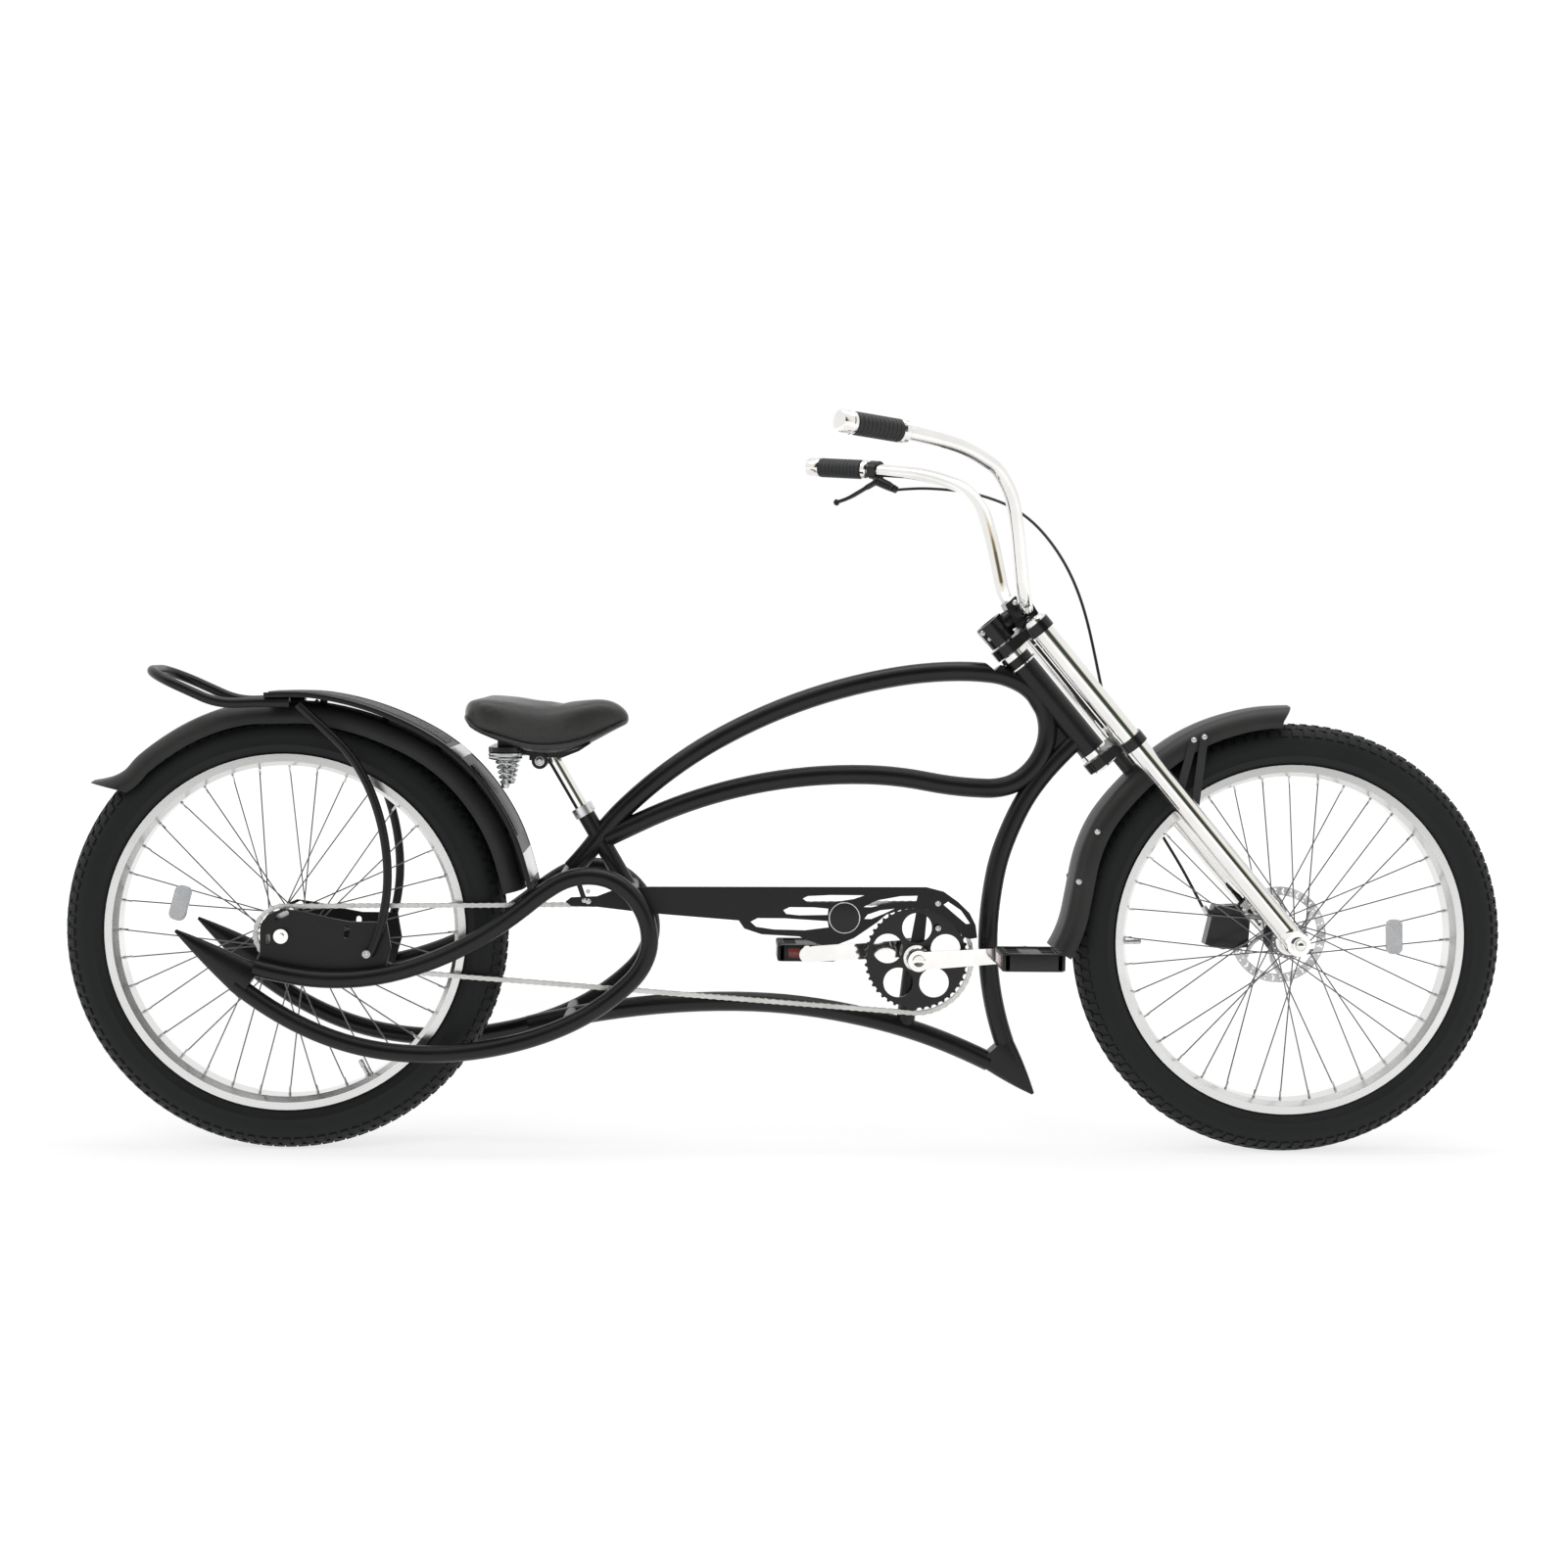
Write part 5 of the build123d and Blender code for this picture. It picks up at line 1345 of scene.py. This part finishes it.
CABLE_ROUTE = [(996, 306, 1092), (1030, 297, 1095), (1070, 282, 1093), (1112, 262, 1088),
               (1152, 238, 1076), (1188, 212, 1059), (1221, 187, 1032), (1249, 164, 996),
               (1272, 145, 956), (1290, 130, 912), (1303, 118, 866), (1313, 110, 820),
               (1323, 105, 772), (1334, 103, 724), (1348, 103, 678), (1365, 102, 632),
               (1386, 98, 588), (1410, 91, 544), (1435, 80, 502), (1460, 68, 460),
               (1482, 58, 418), (1502, 52, 380)]
CABLE_WIDTH = 0.005


def brake_cable():
    """The one cable, from the lever to the caliper, as a curve through the frame's own route."""
    data = bpy.data.curves.new("brake_line", "CURVE")
    data.dimensions = "3D"
    data.bevel_depth = CABLE_WIDTH / 2
    data.bevel_resolution = 3
    data.use_fill_caps = True
    spline = data.splines.new("NURBS")
    spline.points.add(len(CABLE_ROUTE) - 1)
    for point, place in zip(spline.points, CABLE_ROUTE):
        point.co = (*road(*place), 1)
    spline.order_u = 3
    spline.use_endpoint_u = True
    spline.resolution_u = 6
    cable = shown("brake_line", data)
    data.materials.append(PLASTIC)
    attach(cable, "steering")
    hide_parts("brake_cable")


# the lever: its blade from the body to the tip, its body, and its adjuster
LEVER_PATH = [(966, 326, 1108), (958, 333, 1104), (944, 341, 1096), (918, 358, 1081),
              (896, 373, 1073)]
LEVER_WIDTHS = [8.5, 7.5, 5.8, 5.2, 4.8]
LEVER_MIDDLE = (984, 316, 1099)
ADJUSTER = (990, 311, 1095.5)
BLADE_STEPS = 4


def brake_lever():
    """The clamp on the left bar, the body with its adjuster, and the curved blade."""
    shape = Shape()
    collar = road(962, 335, 1128)
    axis = Vector((83, -73, -12))
    shape.turned(collar, axis, [(-10, 15), (-8.8, 16.4), (7.8, 16.4), (9, 15)], 32)
    start = collar + Vector((0, 0, -13)) * MM
    shape.tube([start, road(968, 326, 1112), road(*LEVER_PATH[0])], [9, 9.5, 8.5], 14, flat=0.8)
    shape.tube([road(*LEVER_PATH[0]), road(*LEVER_MIDDLE), road(992, 309.5, 1094)],
               [8.8, 8.2, 6.5], 14)
    shape.turned(road(*ADJUSTER), Vector(CABLE_ROUTE[0]) - Vector(ADJUSTER),
                 [(0, 6.8), (3, 6.8), (3.4, 5.8), (5, 6.6), (6.6, 5.8), (8.2, 6.6), (9, 4)], 16)
    blade = smooth_line([road(*place) for place in LEVER_PATH], BLADE_STEPS)
    widths = [LEVER_WIDTHS[min(index // BLADE_STEPS, len(LEVER_WIDTHS) - 1)]
              for index in range(len(blade))]
    shape.tube(blade, widths, 12, flat=0.62, up=UP)
    shape.turned(blade[-1], blade[-1] - blade[-3], [(-5, 2.5), (-3.5, 4.6), (0, 6.2), (3.5, 4.6),
                                              (5, 2.5)], 16)
    return finished(shape.thing("lever_and_perch"), GLOSS_BLACK, "steering", "gloss_black",
                    "brake_lever")


CALIPER_PINS = [(1549, 60, 347), (1506, 60, 382)]


def caliper_trim():
    """The caliper's cover plate, its pins and the lever arm that the cable pulls."""
    shape = Shape()
    shape.turned(road(1524, 60, 360), LEFT, [(-2, 19), (3, 19), (5, 16), (5.4, 10), (7, 9),
                                                  (8, 5)], 28)
    for pin in CALIPER_PINS:
        shape.turned(road(*pin), LEFT, [(-3, 5), (3.5, 5), (4.5, 3.5)], 12)
    shape.turned(road(1501.5, 52.2, 386), Vector((-20, 6, 38)),
                 [(-3, 5.5), (3, 5.5), (3.4, 4.6), (10, 4.6), (11, 3.2)], 12)
    return finished(shape.thing("caliper_cover"), ALLOY, "steering", "steel")


fork_trim()
grips()
brake_cable()
brake_lever()
caliper_trim()


# ---- bolts and small fittings -------------------------------------------------------------
def bolt_part():
    """A domed head on a washer with a hexagon socket."""
    shape = Shape()
    shape.turned((0, 0, 0), UP, [(-1.5, 6.4), (0.8, 6.4), (1.0, 5.0), (3.0, 4.8), (4.4, 3.6),
                                 (4.7, 2.4), (2.6, 2.2)], 16)
    return shape.thing("bolt")


def bolts(name, rows, body):
    """Bolts on one body, from rows of place, direction and size."""
    part = bolt_part()
    spots = [(road(*place), Vector(direction).normalized(), size)
             for place, direction, size in rows]
    made = PLACED.make(name, places(name + "_places", spots), Part=part, Finish=ALLOY)
    discard(part)
    return finished(made, ALLOY, body, "steel")


def both(rows):
    """The same bolts on the other side too."""
    turned = [((x, -y, z), (direction[0], -direction[1], direction[2]), size)
              for (x, y, z), direction, size in rows]
    return rows + turned


bolts("fender_rivets", both([((1426, -72.5, 582), RIGHT, 0.8), ((1449, -51, 676), RIGHT, 0.7),
                             ((1466, -51, 681), RIGHT, 0.7), ((1297, -48, 526), RIGHT, 0.7),
                             ((1269, -48, 445), RIGHT, 0.7)]),
      "steering")
bolts("clamp_bolts", [((1111, -13.5, 843), RIGHT, 0.8), ((1123, -13.5, 834), RIGHT, 0.8),
                      ((1111, 13.5, 843), LEFT, 0.8), ((1123, 13.5, 834), LEFT, 0.8),
                      ((1160, -27, 892), RIGHT, 0.7), ((1160, 27, 892), LEFT, 0.7),
                      ((1184, -27, 862), RIGHT, 0.7), ((1184, 27, 862), LEFT, 0.7)], "steering")
bolts("frame_bolts", both([((135, -81, 324), RIGHT, 1.0), ((385, -62, 436), (0.9, 0, 0.35), 0.8),
                           ((476, -62, 410), RIGHT, 0.6)])
      + [((402, -30, 629), RIGHT, 1.2), ((402, 30, 629), LEFT, 1.2)], "frame")
bolts("guard_bolts", [((482, -57, 408), RIGHT, 0.7), ((1041, -57, 409), RIGHT, 0.7),
                      ((1042, -57, 369), RIGHT, 0.7)], "frame")


BADGE_MIDDLE = (891, 385)
BADGE_RING = 24.4


def guard_badge():
    """A plain round badge on the guard: a dark disc in a bright ring."""
    disc = Shape()
    disc.turned(road(BADGE_MIDDLE[0], -56.8, BADGE_MIDDLE[1]), RIGHT,
                [(0, 24), (1.3, 24), (1.5, 22), (1.5, 3)], 48)
    ring = Shape()
    middle = road(BADGE_MIDDLE[0], -58.4, BADGE_MIDDLE[1])
    ring.tube([middle + Vector((a, 0, b)) * MM for a, b in circle(48, BADGE_RING)], 1.1, 8,
              up=LEFT, closed=True)
    finished(disc.thing("guard_badge"), GLOSS_BLACK, "frame", "gloss_black")
    finished(ring.thing("guard_badge_ring"), ALLOY, "frame", "steel")


# The clear lens: its place out along the spokes and beside the wheel in metres, and the corners
# and radius of its outline in millimetres.
LENS_OUT = 0.175
LENS_SIDE = -0.018
LENS_CORNERS = [(4, 19), (-4, 19), (-4, -19), (4, -19)]
LENS_RADIUS = 9.5


def spoke_reflector(name, middle, turn):
    """A clear lens with rounded ends, on the spokes."""
    angle = math.radians(turn)
    out = Vector((math.cos(angle), 0, math.sin(angle)))
    across = Vector((-math.sin(angle), 0, math.cos(angle)))
    heart = middle + out * LENS_OUT + Vector((0, LENS_SIDE, 0))
    outline = []
    for corner, (a, b) in enumerate(LENS_CORNERS):
        for step in range(4):
            bend = math.radians(90 * corner + 30 * step)
            outline.append(out * ((a + LENS_RADIUS * math.cos(bend)) * MM)
                           + across * ((b + LENS_RADIUS * math.sin(bend)) * MM))
    lens = Shape()
    lens.skin([[heart + point * size + Vector((0, y, 0)) * MM for point in outline]
               for y, size in ((3.6, 0.9), (2.6, 1.0), (-2.4, 1.0), (-4.0, 0.86))])
    finished(lens.thing(name + "_clear_lens"), WHEEL_LENS, name + "_wheel", "reflector",
             name + "_spoke_reflector")


guard_badge()
spoke_reflector("rear", REAR_WHEEL, 165)
spoke_reflector("front", FRONT_WHEEL, 2)
